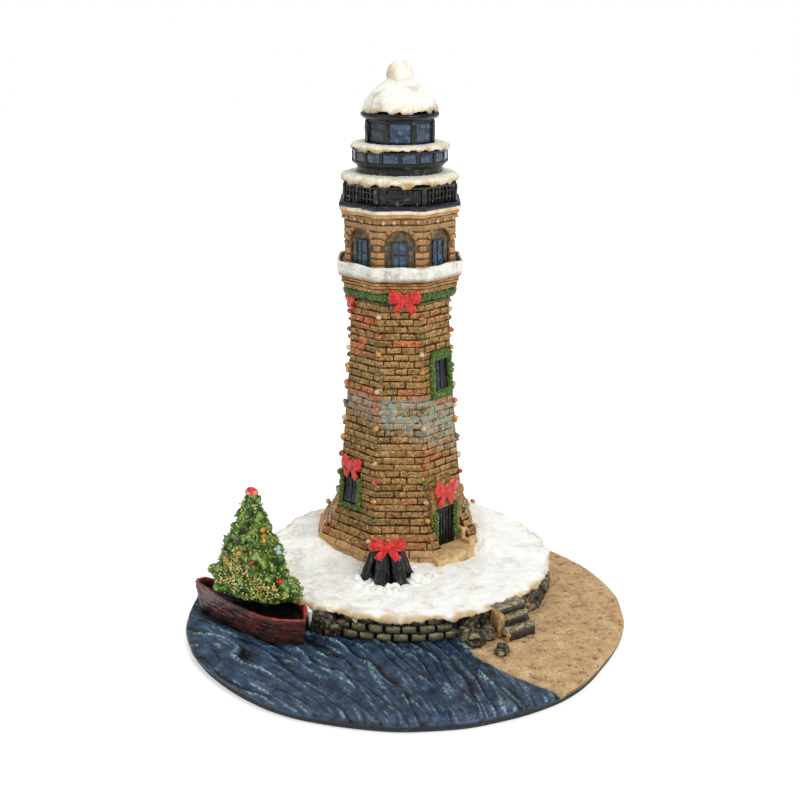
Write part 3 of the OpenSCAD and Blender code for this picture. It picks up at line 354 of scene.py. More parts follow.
def ground_place(u, v):
    """A square grid bent to a disc, whose outermost rings turn down over the rim."""
    a, b = u * 2 - 1, v * 2 - 1
    ring = np.maximum(np.abs(a), np.abs(b))
    safe_a, safe_b = np.where(a == 0, 1, a), np.where(b == 0, 1, b)
    turn = np.where(np.abs(a) >= np.abs(b), np.pi / 4 * b / safe_a + np.where(a < 0, np.pi, 0),
                    np.pi / 2 - np.pi / 4 * a / safe_b + np.where(b < 0, np.pi, 0))
    edge = rim(turn)
    side = np.clip(np.round(ring * rings) - (rings - rim_rings), 0, rim_rings).astype(int)
    reach = np.where(side > 0, edge - np.array([0.7, 0.4, 0.12, 0, 0, 0.15, 0.6])[side],
                     ring / (1 - rim_rings / rings) * (edge - 0.7))
    x, y = reach * np.cos(turn), reach * np.sin(turn)
    shore_gap = shore_distance(x, y) + flat_lumps(x, y, 5, 2, 1.0) * 0.8
    sand = unit(shore_gap / 2.2 + 0.1)
    sand = sand * sand * (3 - 2 * sand)

    lean = np.radians(np.clip(-54 - (x + 8) * 0.45, -68, -46))
    across, along = -x * np.sin(lean) + y * np.cos(lean), x * np.cos(lean) + y * np.sin(lean)
    phase = across / wave_length + flat_lumps(across, along * 0.5, 13, 2, 2.0) * 0.75
    share = phase - np.floor(phase)
    calm = unit((x + 2) / 16)
    strength = np.clip(0.8 - calm * 0.25 + flat_lumps(across, along * 0.13, 3.6, 2, 6.0) * 1.3, 0.15, 1.3)
    ridge = np.where(share < crest_share, (share / crest_share) ** 1.4,
                     1 - ((share - crest_share) / (1 - crest_share)) ** 0.7)
    ripple = flat_lumps(across, along * 0.13, 1.0, 3, 7.0)
    bx, by = in_boat(x, y)
    berth = np.exp(-np.maximum(np.hypot(bx / 21, by / 9.5) - 1, 0) / 0.22)
    water = ground - 0.55 + ridge * strength * 1.25 + ripple * 0.16 - berth
    pits = unit(flat_lumps(x, y, 2.4, 2, 10.0) - 0.45)
    beach = (ground + 0.1 + 0.5 * np.exp(-np.maximum(np.hypot(x, y - island_y) - 41, 0) / 6)
             + flat_lumps(x, y, 7, 2, 8.0) * 0.24 + flat_lumps(x, y, 1.5, 3, 9.0) * 0.11 - pits * 0.8)
    z = water * (1 - sand) + beach * sand
    z = ground - 0.1 + (z - ground + 0.1) * (0.3 + 0.7 * unit((edge - reach) / 2.5))
    z -= (1 - sand) * unit(1 - (edge - reach) / 3.5) ** 2 * 1.1
    z -= np.array([0, 0.12, 0.35, 0.8, 1.3, 1.9, 2.3])[side] * (0.5 + 0.5 * sand)
    # Painted shade: the grooves, the water round the boat and the turned-down edge are darkened. The crests and ripples
    # take the pale blue, dry-brushing that also stands as painted highlight.
    trough = np.where(share < 0.3, 1.5 - share / 0.2, np.where(share > 0.9, (share - 0.9) / 0.07, 0))
    crest = unit(1 - np.abs(share - 0.8) / 0.11) * unit(strength * 1.5 - 0.4)
    ground_place.marks = dict(
        sand=unit(shore_gap / 2.4 + 0.5),
        hollow=unit((trough * np.clip(strength * 1.3, 0, 1.2) - ripple * 0.4 + berth * 0.25) * (1 - sand)
                    + pits * 1.5 * sand + (side > 3) * 3),
        tip=unit(crest * unit(flat_lumps(across * 0.6, along * 0.2, 2.4, 2, 5.0) * 2.4 + 0.25)
                 + unit(ripple * 2 - 0.85 + calm * 0.3) * 0.6) * (1 - sand) * (side < 2))
    return x, y, z


casting = wrapped(2 * rings, 2 * rings, ground_place)
mark(casting, **ground_place.marks)

# Its near black is painted shade in the grooves; its pale blue is dry-brushing that also stands as painted highlight.
sea_paint = painted(
    "navy_sea_paint", "30 1B2733 45 25364B 57 304761 70 446078", 3.2, wash_and_shade="04070A", brush_and_light="A6CACB",
    roughness=0.42, coat=0.06, grain=0.6, relief=0.08, glare=0.3, mottle=0.16)
sand_paint = painted(
    "sand_paint", "30 9C7855 44 B8956B 56 C3A276 70 D0B38A", 4, wash_and_shade="745538",
    specks=[("8C6A4A", 1.3, 0.33), ("D8BE98", 0.7, 0.31), ("54402C", 0.6, 0.285)],
    roughness=0.85, grain=0.5, relief=0.2, mottle=0.13)
for paint, far_colour, near, far in ((sea_paint, "8E8A62", 0.35, 0.75), (sand_paint, "64705A", 0.8, 0.45)):
    tree = paint.node_tree
    colour = tree.nodes["Principled BSDF"].inputs["Base Color"]
    plain = colour.links[0].from_socket
    share = kept(tree, "sand")
    mottle = clouds(tree, tree.nodes["Texture Coordinate"].outputs["Object"], 1.1, 4.0)
    blend = maths(tree, "MULTIPLY", fit(tree, share, near, far), mottle)
    tree.links.new(mix(tree, blend, plain, linear(far_colour)), colour)


def cut_away(piece, test, keep=False):
    """Deletes the faces whose middles pass a test, or moves them to a piece of their own."""
    chosen = test(*np.array([p.center for p in piece.data.polygons]).T / mm)
    others = set(bpy.data.objects)
    pick(piece)
    bpy.ops.object.mode_set(mode="EDIT")
    bpy.ops.mesh.select_mode(type="FACE")
    bpy.ops.object.mode_set(mode="OBJECT")
    piece.data.polygons.foreach_set("select", chosen)
    bpy.ops.object.mode_set(mode="EDIT")
    if keep:
        bpy.ops.mesh.separate(type="SELECTED")
    else:
        bpy.ops.mesh.delete(type="FACE")
    bpy.ops.mesh.select_mode(type="VERT")
    bpy.ops.object.mode_set(mode="OBJECT")
    bpy.ops.object.select_all(action="DESELECT")
    return next(iter(set(bpy.data.objects) - others), None)


cut_away(casting, lambda x, y, z: np.hypot(x, y - island_y) < 38.4)
sand_piece = cut_away(casting, lambda x, y, z: shore_distance(x, y) > 0, keep=True)
settle(casting, "sea_cast", sea_paint, "sea_resin", "sea", smooth=50)
settle(sand_piece, "beach_cast", sand_paint, "sand_resin", "beach", smooth=60)

# The island: a plain drum of the same casting, painted black where it shows between the stones of
# its sea wall, which stands in three courses of hand-cut blocks with worn edges.
core_r, blocks_round, block_courses, block_h = 39.0, 55, 3, 2.4
core = frame["nodes"]["island_core"].data.materials
core.clear()
core.append(painted("black_wash_resin", "35 14110B 70 2A251B", 2.5, roughness=0.75, relief=0.15))


def model_block(bevel, cuts, size=(1, 1, 1)):
    """A block modelled round the origin, sizes in mm, with softened and divided edges."""
    bpy.ops.mesh.primitive_cube_add(size=1 * mm)
    edited(bpy.ops.transform.resize, value=size)
    edited(bpy.ops.mesh.bevel, offset=bevel * mm, segments=2, affect="EDGES")
    edited(bpy.ops.mesh.subdivide, number_cuts=cuts)
    return bpy.context.object


def set_out(model, places, tones=None, stretch=None):
    """One mesh with a copy of the model at each place, each with a tone of its own for the paint."""
    points = corners(model)
    faces = [list(p.vertices) for p in model.data.polygons]
    held = {a.name: np.array([d.value for d in a.data]) for a in model.data.attributes
            if a.data_type == "FLOAT" and a.domain == "POINT"}
    all_points, all_faces = [], []
    for i, place in enumerate(places):
        copy = stretch(points, i) if stretch else points
        all_points.append(copy @ np.array(place.to_3x3()).T + np.array(place.translation))
        all_faces += [[v + i * len(points) for v in face] for face in faces]
    bpy.data.objects.remove(model)
    mesh = bpy.data.meshes.new("copies")
    mesh.from_pydata((np.vstack(all_points) * mm).tolist(), [], all_faces)
    piece = bpy.data.objects.new("copies", mesh)
    scene.collection.objects.link(piece)
    mark(piece, **{key: np.tile(values, len(places)) for key, values in held.items()},
         tone=np.repeat(np.zeros(len(places)) if tones is None else tones, len(points)))
    return piece


def sized(x, y, z):
    return Matrix.Diagonal((x, y, z, 1))


def place_at(x, y, z, turn=0.0, tilt=0.0, roll=0.0, scale=(1, 1, 1)):
    return (Matrix.Translation((x, y, z)) @ Matrix.Rotation(turn, 4, "Z") @ Matrix.Rotation(tilt, 4, "X")
            @ Matrix.Rotation(roll, 4, "Y") @ sized(*scale))


def round_island(angle, reach, z, turn=0.0, scale=(1, 1, 1), tilt=0.0, roll=0.0):
    """A place at an angle in degrees and a distance from the island's middle, its X pointing outwards."""
    a = math.radians(angle)
    return place_at(reach * math.cos(a), island_y + reach * math.sin(a), z, a + turn, tilt, roll, scale)


def jitter(most):
    """A random shift either way, from the draws of the section."""
    return draw.uniform(-most, most)


draw = random.Random(11)
blocks = []
for course in range(block_courses):
    for i in range(blocks_round):
        angle = ((i + course % 2 / 2) * 360 / blocks_round + 180) % 360 - 180
        if not (-157 < angle < -115 or -69 < angle < -2):
            blocks.append((round_island(
                angle + jitter(0.25), core_r + 0.95 + draw.uniform(-0.12, 0.16), 5.1 + course * block_h,
                jitter(0.04), (1, draw.uniform(0.9, 1.02), draw.uniform(0.92, 1.04)), jitter(0.04)), draw.random()))
block = model_block(0.3, 2, (2.0, 4.2, 2.25))
x, y, z = corners(block).T
# Painted light: the upper part of each block takes the pale khaki as painted highlight and its lower part is darkened
# as painted shade; its sides are dark at the joints.
mark(block, hollow=unit((np.abs(y) - 1.7) / 0.3) * 0.8 + unit((-z + 0.05) / 0.8) * 0.9,
     tip=unit((z + 0.1) * 1.3) * (np.abs(y) < 1.9))
wall = set_out(block, *zip(*blocks))
roughen(wall, 1.0, 0.2, 3, 1.0)
settle(wall, "sea_wall_blocks", painted(
    "khaki_wall_stone", "35 453F2B 50 625A3E 65 857B57", 1.3, wash_and_shade="16120A", brush_and_light="A39A74",
    tones="0 4E4730 50 6B6343 80 7D7450 100 5A4A30", grain=0.35, relief=0.14, mottle=0.22),
    "wall_stone_resin", "seawall_blocks")

# The rocks: rough outcrops cast with the wall, left black in the cracks and brushed olive and tan
# on their edges; loose ones lie on the sand at the foot of the steps.
rock_paint = painted(
    "black_olive_rock", "32 1E1B14 50 3B372B 66 5A5340", 1.7, wash_and_shade="0C0A06", brush_and_light="988E6E",
    roughness=0.5, coat=0.1, relief=0.18, mottle=0.25)


def craggy(piece, size, depth, seed):
    """Breaks a smooth lump into ledges with cracks between them."""
    points = corners(piece)
    bent = points + np.column_stack([lumps(points, size, 2, seed + k) for k in range(3)]) * size * 0.35
    found = [noise.voronoi(Vector((p[0], p[1], p[2] * 1.5)) / size + Vector((seed, 0, seed))) for p in bent]
    crack = unit(1 - np.array([f[0][1] - f[0][0] for f in found]) / 0.16)
    ledge = np.array([noise.noise(f[1][0] * 7.3) for f in found])
    height = ledge * depth * 1.5 - crack * depth * 0.6 + lumps(points, size * 0.7, 3, seed) * depth * 0.55
    push_out(piece, height)
    mark(piece, hollow=unit(crack * 0.9 + unit(-ledge) * 0.9),
         tip=unit(ledge * 1.6 + lumps(points, size * 0.5, 2, seed + 3) * 0.9 - crack))


def pebble(subdivisions):
    bpy.ops.mesh.primitive_ico_sphere_add(subdivisions=subdivisions, radius=1 * mm)
    return bpy.context.object


def rocks(places, size, depth, seed, name, paint, node):
    stone = pebble(5)
    points = corners(stone)
    powers = np.sign(points) * np.abs(points) ** 0.72
    move_corners(stone, powers / np.linalg.norm(powers, axis=1)[:, None] ** 0.55)
    stones = set_out(stone, places)
    craggy(stones, size, depth, seed)
    settle(stones, name, paint, "rock_resin", node, smooth=50)


draw = random.Random(5)
rocks([round_island(a, 40.4, z, jitter(0.3), (1.9 + draw.random() * 0.5, 2.6, h))
       for a, z, h in ((-125.6, 6.6, 3.6), (-122.4, 6.8, 3.9), (-119.2, 6.2, 3.2), (-124, 9.5, 1.7),
                       (-120.6, 9.3, 1.6), (-129.6, 6.2, 2.2))],
      2.4, 0.45, 2.0, "left_wall_rocks", rock_paint, "rocks_left")
brown_rock = painted(
    "brown_olive_rock", "32 231E14 48 453E2F 62 6E644C", 1.5, wash_and_shade="0C0905", brush_and_light="AE9F78",
    roughness=0.58, relief=0.18, mottle=0.25)
right_places = []
for i in range(17):
    a = -66 + i * 3.75
    right_places += [
        round_island(a, 40.3 + jitter(0.3), 6.2, jitter(0.4),
                     (draw.uniform(1.7, 2.3), draw.uniform(1.7, 2.4), draw.uniform(3.0, 4.2)), jitter(0.2)),
        round_island(a + 1.8, 40.2, 9.3, jitter(0.5),
                     (draw.uniform(1.4, 1.9), draw.uniform(1.4, 1.9), draw.uniform(1.3, 1.8)))]
rocks(right_places, 2.6, 0.5, 4.0, "right_wall_rocks", brown_rock, "rocks_right")
rocks([round_island(*spot) for spot in (
    (-65.4, 46.2, 5.6, 0.5, (2.4, 2.8, 2.6), 0.2), (-68, 43.6, 6.4, 0.2, (2.0, 2.3, 2.3)),
    (-60.6, 45.2, 6.0, 0.3, (2.2, 1.9, 3.0), 0.2), (-61.8, 53.4, 5.3, 0.9, (1.9, 2.0, 1.8), 0.3))],
    2.6, 0.42, 9.0, "beach_boulders", brown_rock, "beach_rocks")

# The steps: three slabs of slate cast as one flight, with chiselled treads and a pale cheek stone on
# the left, painted charcoal, with painted highlight brushed olive on the treads and front edges and
# painted shade on the risers.
slate = model_block(0.1, 5)
x, y, z = corners(slate).T
# Painted light: the top of each slab and its front edge take the pale olive as painted highlight, and its lower faces
# are darkened as painted shade.
mark(slate, tip=unit((z - 0.38) * 10) * 0.6 + (z > 0.38) * (x > 0.36) * 0.5, hollow=unit((0.34 - z) * 3) * 0.9)
flight = set_out(slate, [
    round_island(-50.2, (edge + 39) / 2, top - thick / 2, -0.13, (edge - 39, wide, thick), 0.02)
    for edge, top, thick, wide in ((50.0, 7.5, 3.4, 9.6), (47.3, 9.9, 2.8, 9.4), (44.9, 12.0, 2.6, 9.8))])
points = corners(flight)
points[:, 2] += np.sin((points[:, 0] * 0.76 + points[:, 1] * 0.65) * 5 + lumps(points, 2, 2, 5.0) * 2) * 0.08
move_corners(flight, points)
roughen(flight, 1.2, 0.3, 3, 5.0)
settle(flight, "slate_steps", painted(
    "slate_paint", "33 262217 48 4A4535 62 6E664F", 1.2, wash_and_shade="0C0905", brush_and_light="B3A682",
    roughness=0.55, coat=0.08, relief=0.2, mottle=0.25), "rock_resin", "beach_steps", smooth=45)

cheek = model_block(0.12, 4)
mark(cheek, tip=((np.abs(corners(cheek)) > 0.33).sum(axis=1) > 1) * 0.9)
cheek = set_out(cheek, [round_island(-56.4, 44.4, 8.0, -0.1, (4.8, 1.6, 7.2), 0.0, 0.1),
                        round_island(-56, 47.0, 5.4, -0.1, (5.2, 0.9, 3.4), 0, 0.2)])
roughen(cheek, 1.4, 0.2, 3, 8.0)
settle(cheek, "step_cheek_stone", painted(
    "tan_cheek_stone", "35 7C5A36 60 B0864F", 1.3, brush_and_light="D2AC7C", relief=0.2, mottle=0.25),
    "rock_resin", "beach_steps")

# The snow: a thick blanket cast over the island, drifted against the tower, dug away at the door step and
# heaped round the piles. Its edge hangs over the wall and is tan along it, with painted shade in tan under
# it; the rest is off-white, with painted shade brushed grey on the left.
tower, plinth_r = np.array([-1.5, 34.0]), 24.6
pile_at = np.array([-5.2, 1.0])


def round_tower(turn, r):
    return tower[0] + r * np.cos(turn), tower[1] + r * np.sin(turn)


step_at = round_tower(-math.pi / 4, 26.4)


def eight_sided(x, y, r):
    """How far a point lies outside an upright eight-sided outline round the tower's axis."""
    sides = [(x - tower[0]) * math.cos(a) + (y - tower[1]) * math.sin(a) for a in np.arange(8) * math.pi / 4]
    return np.max(sides, axis=0) - r


def snow_height(x, y):
    off = np.maximum(eight_sided(x, y, plinth_r), 0)
    piles = np.hypot(x - pile_at[0], y - pile_at[1])
    heap = bump(piles - 6.6, 2.3) * (0.75 + flat_lumps(x, y, 2.6, 2, 12.0) * 0.9)
    way = np.degrees(np.arctan2(y - tower[1], x - tower[0]))
    beside = ((x - tower[0]) + (y - tower[1])) * math.sqrt(0.5)
    drift = np.interp(eight_sided(x, y, 0) + flat_lumps(x, y, 4, 2, 11.0) * 0.8,
                      [17, 18.4, 21.4, 24.6, 26.5, 30, 37], [7.2, 6.7, 5.2, 3.3, 2.2, 1.1, 0])
    bank = unit((beside - 6.4 + flat_lumps(x, y, 3, 2, 21.0)) / 3.4) * unit((65 - way) / 40) * drift
    return (12.5 + bank + 1.4 * np.exp(-off / 9) + 1.9 * bump(np.hypot(x + 27.5, y - 23.0), 6.5)
            + unit((y - 30) / 25) * 0.5 - 1.5 * bump(np.hypot(x - step_at[0], y - step_at[1]), 5.5)
            + np.maximum(heap, 0) * 1.15 + flat_lumps(x, y, 9, 2, 13.0) * 0.34
            + flat_lumps(x, y, 2.8, 3, 14.0) * 0.2 + flat_lumps(x, y, 0.9, 2, 15.0) * 0.05)


snow_rows, lip_rows = 84, 9
lip_r, lip_z, plate_clear_r, wall_face_r, inner_r = 42.4, 10.5, 61.2, 40.2, 8


def snow_place(u, v):
    """Rows run out from inside the plinth to the edge, round the lip and back under it to the wall."""
    turn = u * 2 * np.pi
    way = circle(turn, 41)
    a, b = np.cos(turn), np.sin(turn)
    over_rim = -b * island_y + np.sqrt(np.maximum(plate_clear_r ** 2 - (a * island_y) ** 2, 0))
    lip = np.minimum(lip_r + lumps(way, 6.5, 2, 16.0) * 0.6 + lumps(way, 2.2, 2, 17.0) * 0.42, over_rim)
    low = lip_z - np.clip(lumps(way, 5, 2, 18.0) * 0.9 + lumps(way, 1.2, 3, 20.0) * 0.45, -0.7, 0.8)
    over = np.round(v * snow_rows).astype(int) - (snow_rows - lip_rows)
    k = np.clip(over, 0, lip_rows)
    inwards = np.array([0, 0.75, 0.3, 0.05, 0, 0.05, 0.3, 0.9, 1.6, 0])[k]
    down = np.array([0, 0.06, 0.2, 0.42, 0.62, 0.82, 0.96, 1.0, 0.96, 0.8])[k]
    reach = np.where(over > 0, np.where(k == lip_rows, wall_face_r, lip - inwards),
                     inner_r + (lip - 1.6 - inner_r) * unit(1 + over / (snow_rows - lip_rows)))
    x, y = a * reach, island_y + b * reach
    top = snow_height(x, y)
    sag = unit(1 - (lip - reach) / 4.5) ** 2 * 0.45
    return x, y, np.where(over > 0, (top - 0.45) + (low - top + 0.45) * down, top - sag)


snow = wrapped(620, snow_rows, snow_place)
x, y, z = (points := corners(snow)).T
reach = np.hypot(x, y - island_y)
under_lip = unit((reach - 40.7) / 1.2) * unit((12.7 + lumps(points, 4, 2, 22.0) * 0.9 - z) / 0.9)
# Painted shade: the underside of the lip is darkened tan; the edge and the foot of the plinth are tan too. The high
# spots on the left are brushed grey as painted shade, and grey smudges lie at the front.
mark(snow, hollow=unit(
    under_lip * (0.75 + lumps(points * [1, 1, 0.4], 4, 2, 19.0) * 0.7) + (z < 10.4) * 0.4
    + unit((reach - 39.4 + lumps(points, 5, 3, 28.0) * 3.2) / 2.2) * np.interp(x, [0, 30], [0.42, 0.12])
    + np.exp(-np.maximum(eight_sided(x, y, plinth_r), 0) / 1.4) * 0.3),
    tip=unit((lumps(points, 6, 3, 23.0) + 0.25) * 1.6) * unit((-x - 4) / 26) * 0.75
    + unit(lumps(points, 4.5, 3, 24.0) * 1.8 - 0.35) * 0.5 * unit((5 - y) / 10))
cut_away(snow, lambda x, y, z: eight_sided(x, y, plinth_r - 1.2) < np.where(z > 15.6, -5.9, 0))
# Its grey is painted shade, brushed over the left of the blanket.
snow_paint = painted(
    "snow_paint", "28 D8D7CB 38 EDEDE4 50 F8F9F5", 7, wash_and_shade="C0A478", brush_and_light="C9C1AC",
    specks=[("8B7A62", 0.5, 0.25)], roughness=0.7, grain=0.6, relief=0.2, mottle=0.03)
settle(snow, "snow_blanket_cast", snow_paint, "snow_resin", "snow_blanket", smooth=70)


def drip_place(u, v):
    r, turn = np.interp(v, [0, 0.1, 0.4, 0.75, 0.93, 1], [0, 1.35, 0.95, 0.6, 0.4, 0]), u * 2 * np.pi
    return r * np.cos(turn), r * np.sin(turn), -5.4 * v


drips = set_out(wrapped(20, 16, drip_place), [round_island(*spot) for spot in (
    (-127.7, 42.2, 10.6, 0.0, (0.85, 0.85, 1.05), 0.0, -0.05), (-129.6, 41.9, 10.9, 0.4, (0.75, 0.75, 0.7)),
    (-108.5, 42.0, 10.6, 0.9, (0.6, 0.6, 0.25)))])
roughen(drips, 1.4, 0.16, 2, 6.0)
settle(drips, "icicles", snow_paint, "snow_resin", "icicle", smooth=70)

# The tower's plinth: one course of larger stones, cast in relief on a plain eight-sided bed and painted
# light tan over brown, which stands just clear of the snow.
plinth_top = 14.9
half = math.radians(22.5)
shaft_h, top_r, spread, flare, flare_h = 71.8, 13.9, 5.6, 4.9, 9.5


def shaft_r(h):
    """Half the shaft's width at a height above the plinth: it leans in, and its foot flares."""
    return (top_r + spread * (np.maximum(shaft_h - h, 0) / shaft_h) ** 1.5
            + flare * (np.maximum(flare_h - h, 0) / flare_h) ** 1.15)


def lean_of(z, h):
    """How far the shaft's side leans in over a height above z."""
    return -math.atan2(shaft_r(z) - shaft_r(z + h), h)


def on_side(side, along, out, z, lean=0.0, turn=0.0):
    """A place on one of the tower's eight sides, its -Y pointing out; side 0 faces the front."""
    a = side * math.pi / 4
    x = tower[0] + along * math.cos(a) + out * math.sin(a)
    y = tower[1] + along * math.sin(a) - out * math.cos(a)
    return place_at(x, y, z, a, lean, turn)


def model_brick():
    """The face of a brick, 4 by 2 mm, with rounded edges that run back into the mortar."""
    bpy.ops.mesh.primitive_grid_add(x_subdivisions=8, y_subdivisions=6, size=2)
    brick = bpy.context.object
    flat = np.round((corners(brick) * mm)[:, :2], 4)
    shares = []
    for column in flat.T:
        steps = np.unique(column)
        shares.append(np.searchsorted(steps, column) / (len(steps) - 1))
    x = np.interp(shares[0], np.linspace(0, 1, 7), [-2, -1.95, -1.8, 0, 1.8, 1.95, 2])
    z = np.interp(shares[1], np.linspace(0, 1, 7), [-1, -0.95, -0.8, 0, 0.8, 0.95, 1])
    edge = np.maximum(np.maximum(np.abs(x) - 1.8, np.abs(z) - 0.8), 0) / 0.2
    move_corners(brick, np.column_stack([x, 0.55 * edge ** 3 + 0.03 * edge, z]))
    # The rounded edges are washed dark into the joints; the upper part of each face takes the paint's light colour as
    # painted highlight.
    mark(brick, hollow=unit(edge * 1.5 - 0.7), tip=unit((z - 0.3) * 1.2 * (edge < 0.3)))
    edited(bpy.ops.mesh.flip_normals)
    return brick


def lay(stones):
    """Stones by place, length, height and tone: the middle stretches and the edges keep their shape."""
    places, lengths, heights, tones = zip(*stones)

    def stretch(points, i):
        new = points.copy()
        for axis, now, grown, flat in ((0, 4, lengths[i], 1.8), (2, 2, heights[i], 0.8)):
            side = points[:, axis]
            new[:, axis] += np.sign(side) * (grown - now) / 2 * np.minimum(np.abs(side) / flat, 1)
        return new
    return set_out(model_brick(), places, tones, stretch)


draw = random.Random(21)
plinth = []
width = 2 * plinth_r * math.tan(half)
for side in range(8):
    ends = [-width / 2] + [width * (k / 4 - 0.5) + jitter(0.5) for k in range(1, 4)] + [width / 2]
    for low, high in zip(ends, ends[1:]):
        plinth.append((on_side(side, (low + high) / 2, plinth_r + draw.uniform(-0.08, 0.05), 13.9,
                               jitter(0.02)), high - low - 0.12, 2.2, draw.random()))
tan_stone = painted(
    "tan_stone_paint", "32 9C7648 50 B98F5C 68 D0A870", 2.6, wash_and_shade="4A321B", roughness=0.66, grain=0.4)
plinth = lay(plinth)
roughen(plinth, 1.6, 0.16, 3, 3.0)
settle(plinth, "plinth_stones", tan_stone, "tan_stone_resin", "tower_plinth", smooth=60)


def lathe(profile, per_side=6, rows=1, wobble=0.0, seed=0.0, eight=True):
    """A solid round the tower's axis from r and z pairs, round or with eight sides whose corners stay sharp."""
    r_list, z_list = zip(*profile)

    def place(u, v):
        turn = u * 2 * np.pi + half
        knot = np.linspace(0, 1, len(profile))
        r, z = np.interp(v, knot, r_list), np.interp(v, knot, z_list)
        if eight:
            r = r / np.cos((turn + half) % (math.pi / 4) - half)
        if wobble:
            way = circle(turn, 14, z)
            z = z + lumps(way + 50, 5, 2, seed) * wobble * (r > 0.5)
            r = r * (1 + lumps(way, 5, 2, seed) * wobble / 14)
        return *round_tower(turn, r), z
    return wrapped(8 * per_side, (len(profile) - 1) * rows, place)


bed_r = plinth_r - 0.4
bed = lathe([(0, 11.2), (bed_r, 11.2), (bed_r, 14.6), (bed_r - 0.4, 14.75), (0, 14.75)])
settle(bed, "plinth_bed", painted("brown_mortar", "40 4B3118 60 6B4827", 1.2, roughness=0.8),
       "tan_stone_resin", "tower_plinth")

# The shaft: eight leaning walls of thin bricks in running bond, cast with raised faces and dark joints.
# Painted tan over brown, with odd bricks picked out orange, a painted highlight on the upper part of each
# brick and a pale blue wash across the middle.
courses, brick_length, foot_length = 36, 4.5, 6.5
course_h = shaft_h / courses
openings = {7: [(-2.4, 5.8, 12.2, 7.8)], 1: [(1.4, 5.4, 46.0, 9.6), (-0.3, 11.6, 0.0, 14.0)]}
draw = random.Random(8)
laid, foot_course = [], []
for course in range(courses):
    low = course * course_h
    middle = low + course_h / 2
    for side in range(8):
        r = shaft_r(middle)
        width = 2 * r * math.tan(half)
        lean = lean_of(low, course_h)
        count = max(2, round(width / (brick_length if course else foot_length)))
        joints = [width * ((k + course % 2 / 2) / count - 0.5) + jitter(0.8) for k in range(count + 1)]
        joints = [j for j in joints if abs(j) < width / 2 - 1.1 and draw.random() > 0.1]
        joints = [-width / 2] + joints + [width / 2]
        for pieces in ([pair] for pair in zip(joints, joints[1:])):
            for x, w, z, h in openings.get(side, []):
                if low + course_h > z - 0.1 and low < z + h + 0.1:
                    parts = ([(a, min(b, x - w / 2 - 0.1)) for a, b in pieces]
                             + [(max(a, x + w / 2 + 0.1), b) for a, b in pieces])
                    pieces = [(a, b) for a, b in parts if b - a > 0.7]
            for a, b in pieces:
                trim = [draw.uniform(-0.02, 0.12) if abs(abs(end) - width / 2) > 0.01 else -0.04 for end in (a, b)]
                spot = on_side(side, (a + trim[0] + b - trim[1]) / 2, r - 0.02 + jitter(0.12),
                               plinth_top + middle + jitter(0.07), lean + jitter(0.05), jitter(0.015))
                tone = (draw.betavariate(1.6, 1.9) * 0.85 + noise.fractal(spot.translation / 9, 1.0, 2.0, 2) * 0.55
                        + (0.3 if draw.random() < 0.07 else 0))
                (laid if course else foot_course).append((
                    spot, b - a - trim[0] - trim[1], course_h / math.cos(lean) - draw.uniform(0.02, 0.3),
                    unit(tone)))
foot_stones = lay(foot_course)
roughen(foot_stones, 1.6, 0.16, 3, 3.0)
settle(foot_stones, "plinth_upper_stones", tan_stone, "tan_stone_resin", "tower_plinth", smooth=60)
bricks = lay(laid)
roughen(bricks, 2.2, 0.16, 2, 2.0)
roughen(bricks, 0.8, 0.1, 2, 2.5)
# Its pale brush colour lies on the upper part of each brick as painted highlight.
brick_paint = painted(
    "tan_brick_paint", "30 4C3212 42 805A2A 55 A07941 68 C49C60", 1.5, wash_and_shade="361D06", brush_and_light="CBAE7C",
    tones="0 6E5426 20 8E6E3A 50 A67F4A 66 8F6034 82 AE683A 100 C25E30",
    specks=[("3F3212", 0.7, 0.35), ("D0A868", 0.8, 0.33)], roughness=0.55, coat=0.06, grain=0.75, relief=0.26,
    mottle=0.3, glare=0.3)


def blue_wash(material, strength):
    """A pale blue wash across the middle of the shaft, wider and lower on the right, with a few dabs of yellow."""
    tree = material.node_tree
    paint = tree.nodes["Principled BSDF"].inputs["Base Color"]
    colour = paint.links[0].from_socket
    place = tree.nodes["Texture Coordinate"].outputs["Object"]
    split = add(tree, "SeparateXYZ", {0: place}).outputs
    drift = maths(tree, "MULTIPLY_ADD", clouds(tree, place, 6, 4.0, Roughness=0.6), 10 * mm, split["Z"])
    bottom, top = (maths(tree, "MULTIPLY_ADD", split["X"], slope, drift) for slope in (0.42, 0.05))
    cover = fit(tree, bottom, 52.5 * mm, 57 * mm)
    for value, start, end in ((top, 65.5, 63.5), (split["Y"], 31, 26)):
        cover = maths(tree, "MULTIPLY", cover, fit(tree, value, start * mm, end * mm))
    for size, low, high, code, share in ((1.8, 0.42, 0.57, "9DBDBA", strength), (3.3, 0.66, 0.69, "D9A63A", 0.9)):
        patch = fit(tree, clouds(tree, place, size, 5.0, Roughness=0.7), low, high, 0, share)
        colour = mix(tree, maths(tree, "MULTIPLY", cover, patch), colour, linear(code))
    tree.links.new(colour, paint)


blue_wash(brick_paint, 0.46)
settle(bricks, "shaft_bricks", brick_paint, "brick_resin", "tower_shaft", smooth=50)


def in_metres(place):
    return Matrix.Translation(place.translation * mm) @ place.to_3x3().to_4x4()


def cut_out(piece, cutter):
    """Takes the shape of the cutter out of a piece."""
    piece.modifiers.new("opening", "BOOLEAN").object = cutter
    bpy.context.view_layer.objects.active = piece
    bpy.ops.object.modifier_apply(modifier="opening")
    bpy.data.objects.remove(cutter)


def cut_block(piece, place, size):
    bpy.ops.mesh.primitive_cube_add(size=1 * mm)
    bpy.context.object.matrix_world = in_metres(place) @ sized(*size)
    cut_out(piece, bpy.context.object)


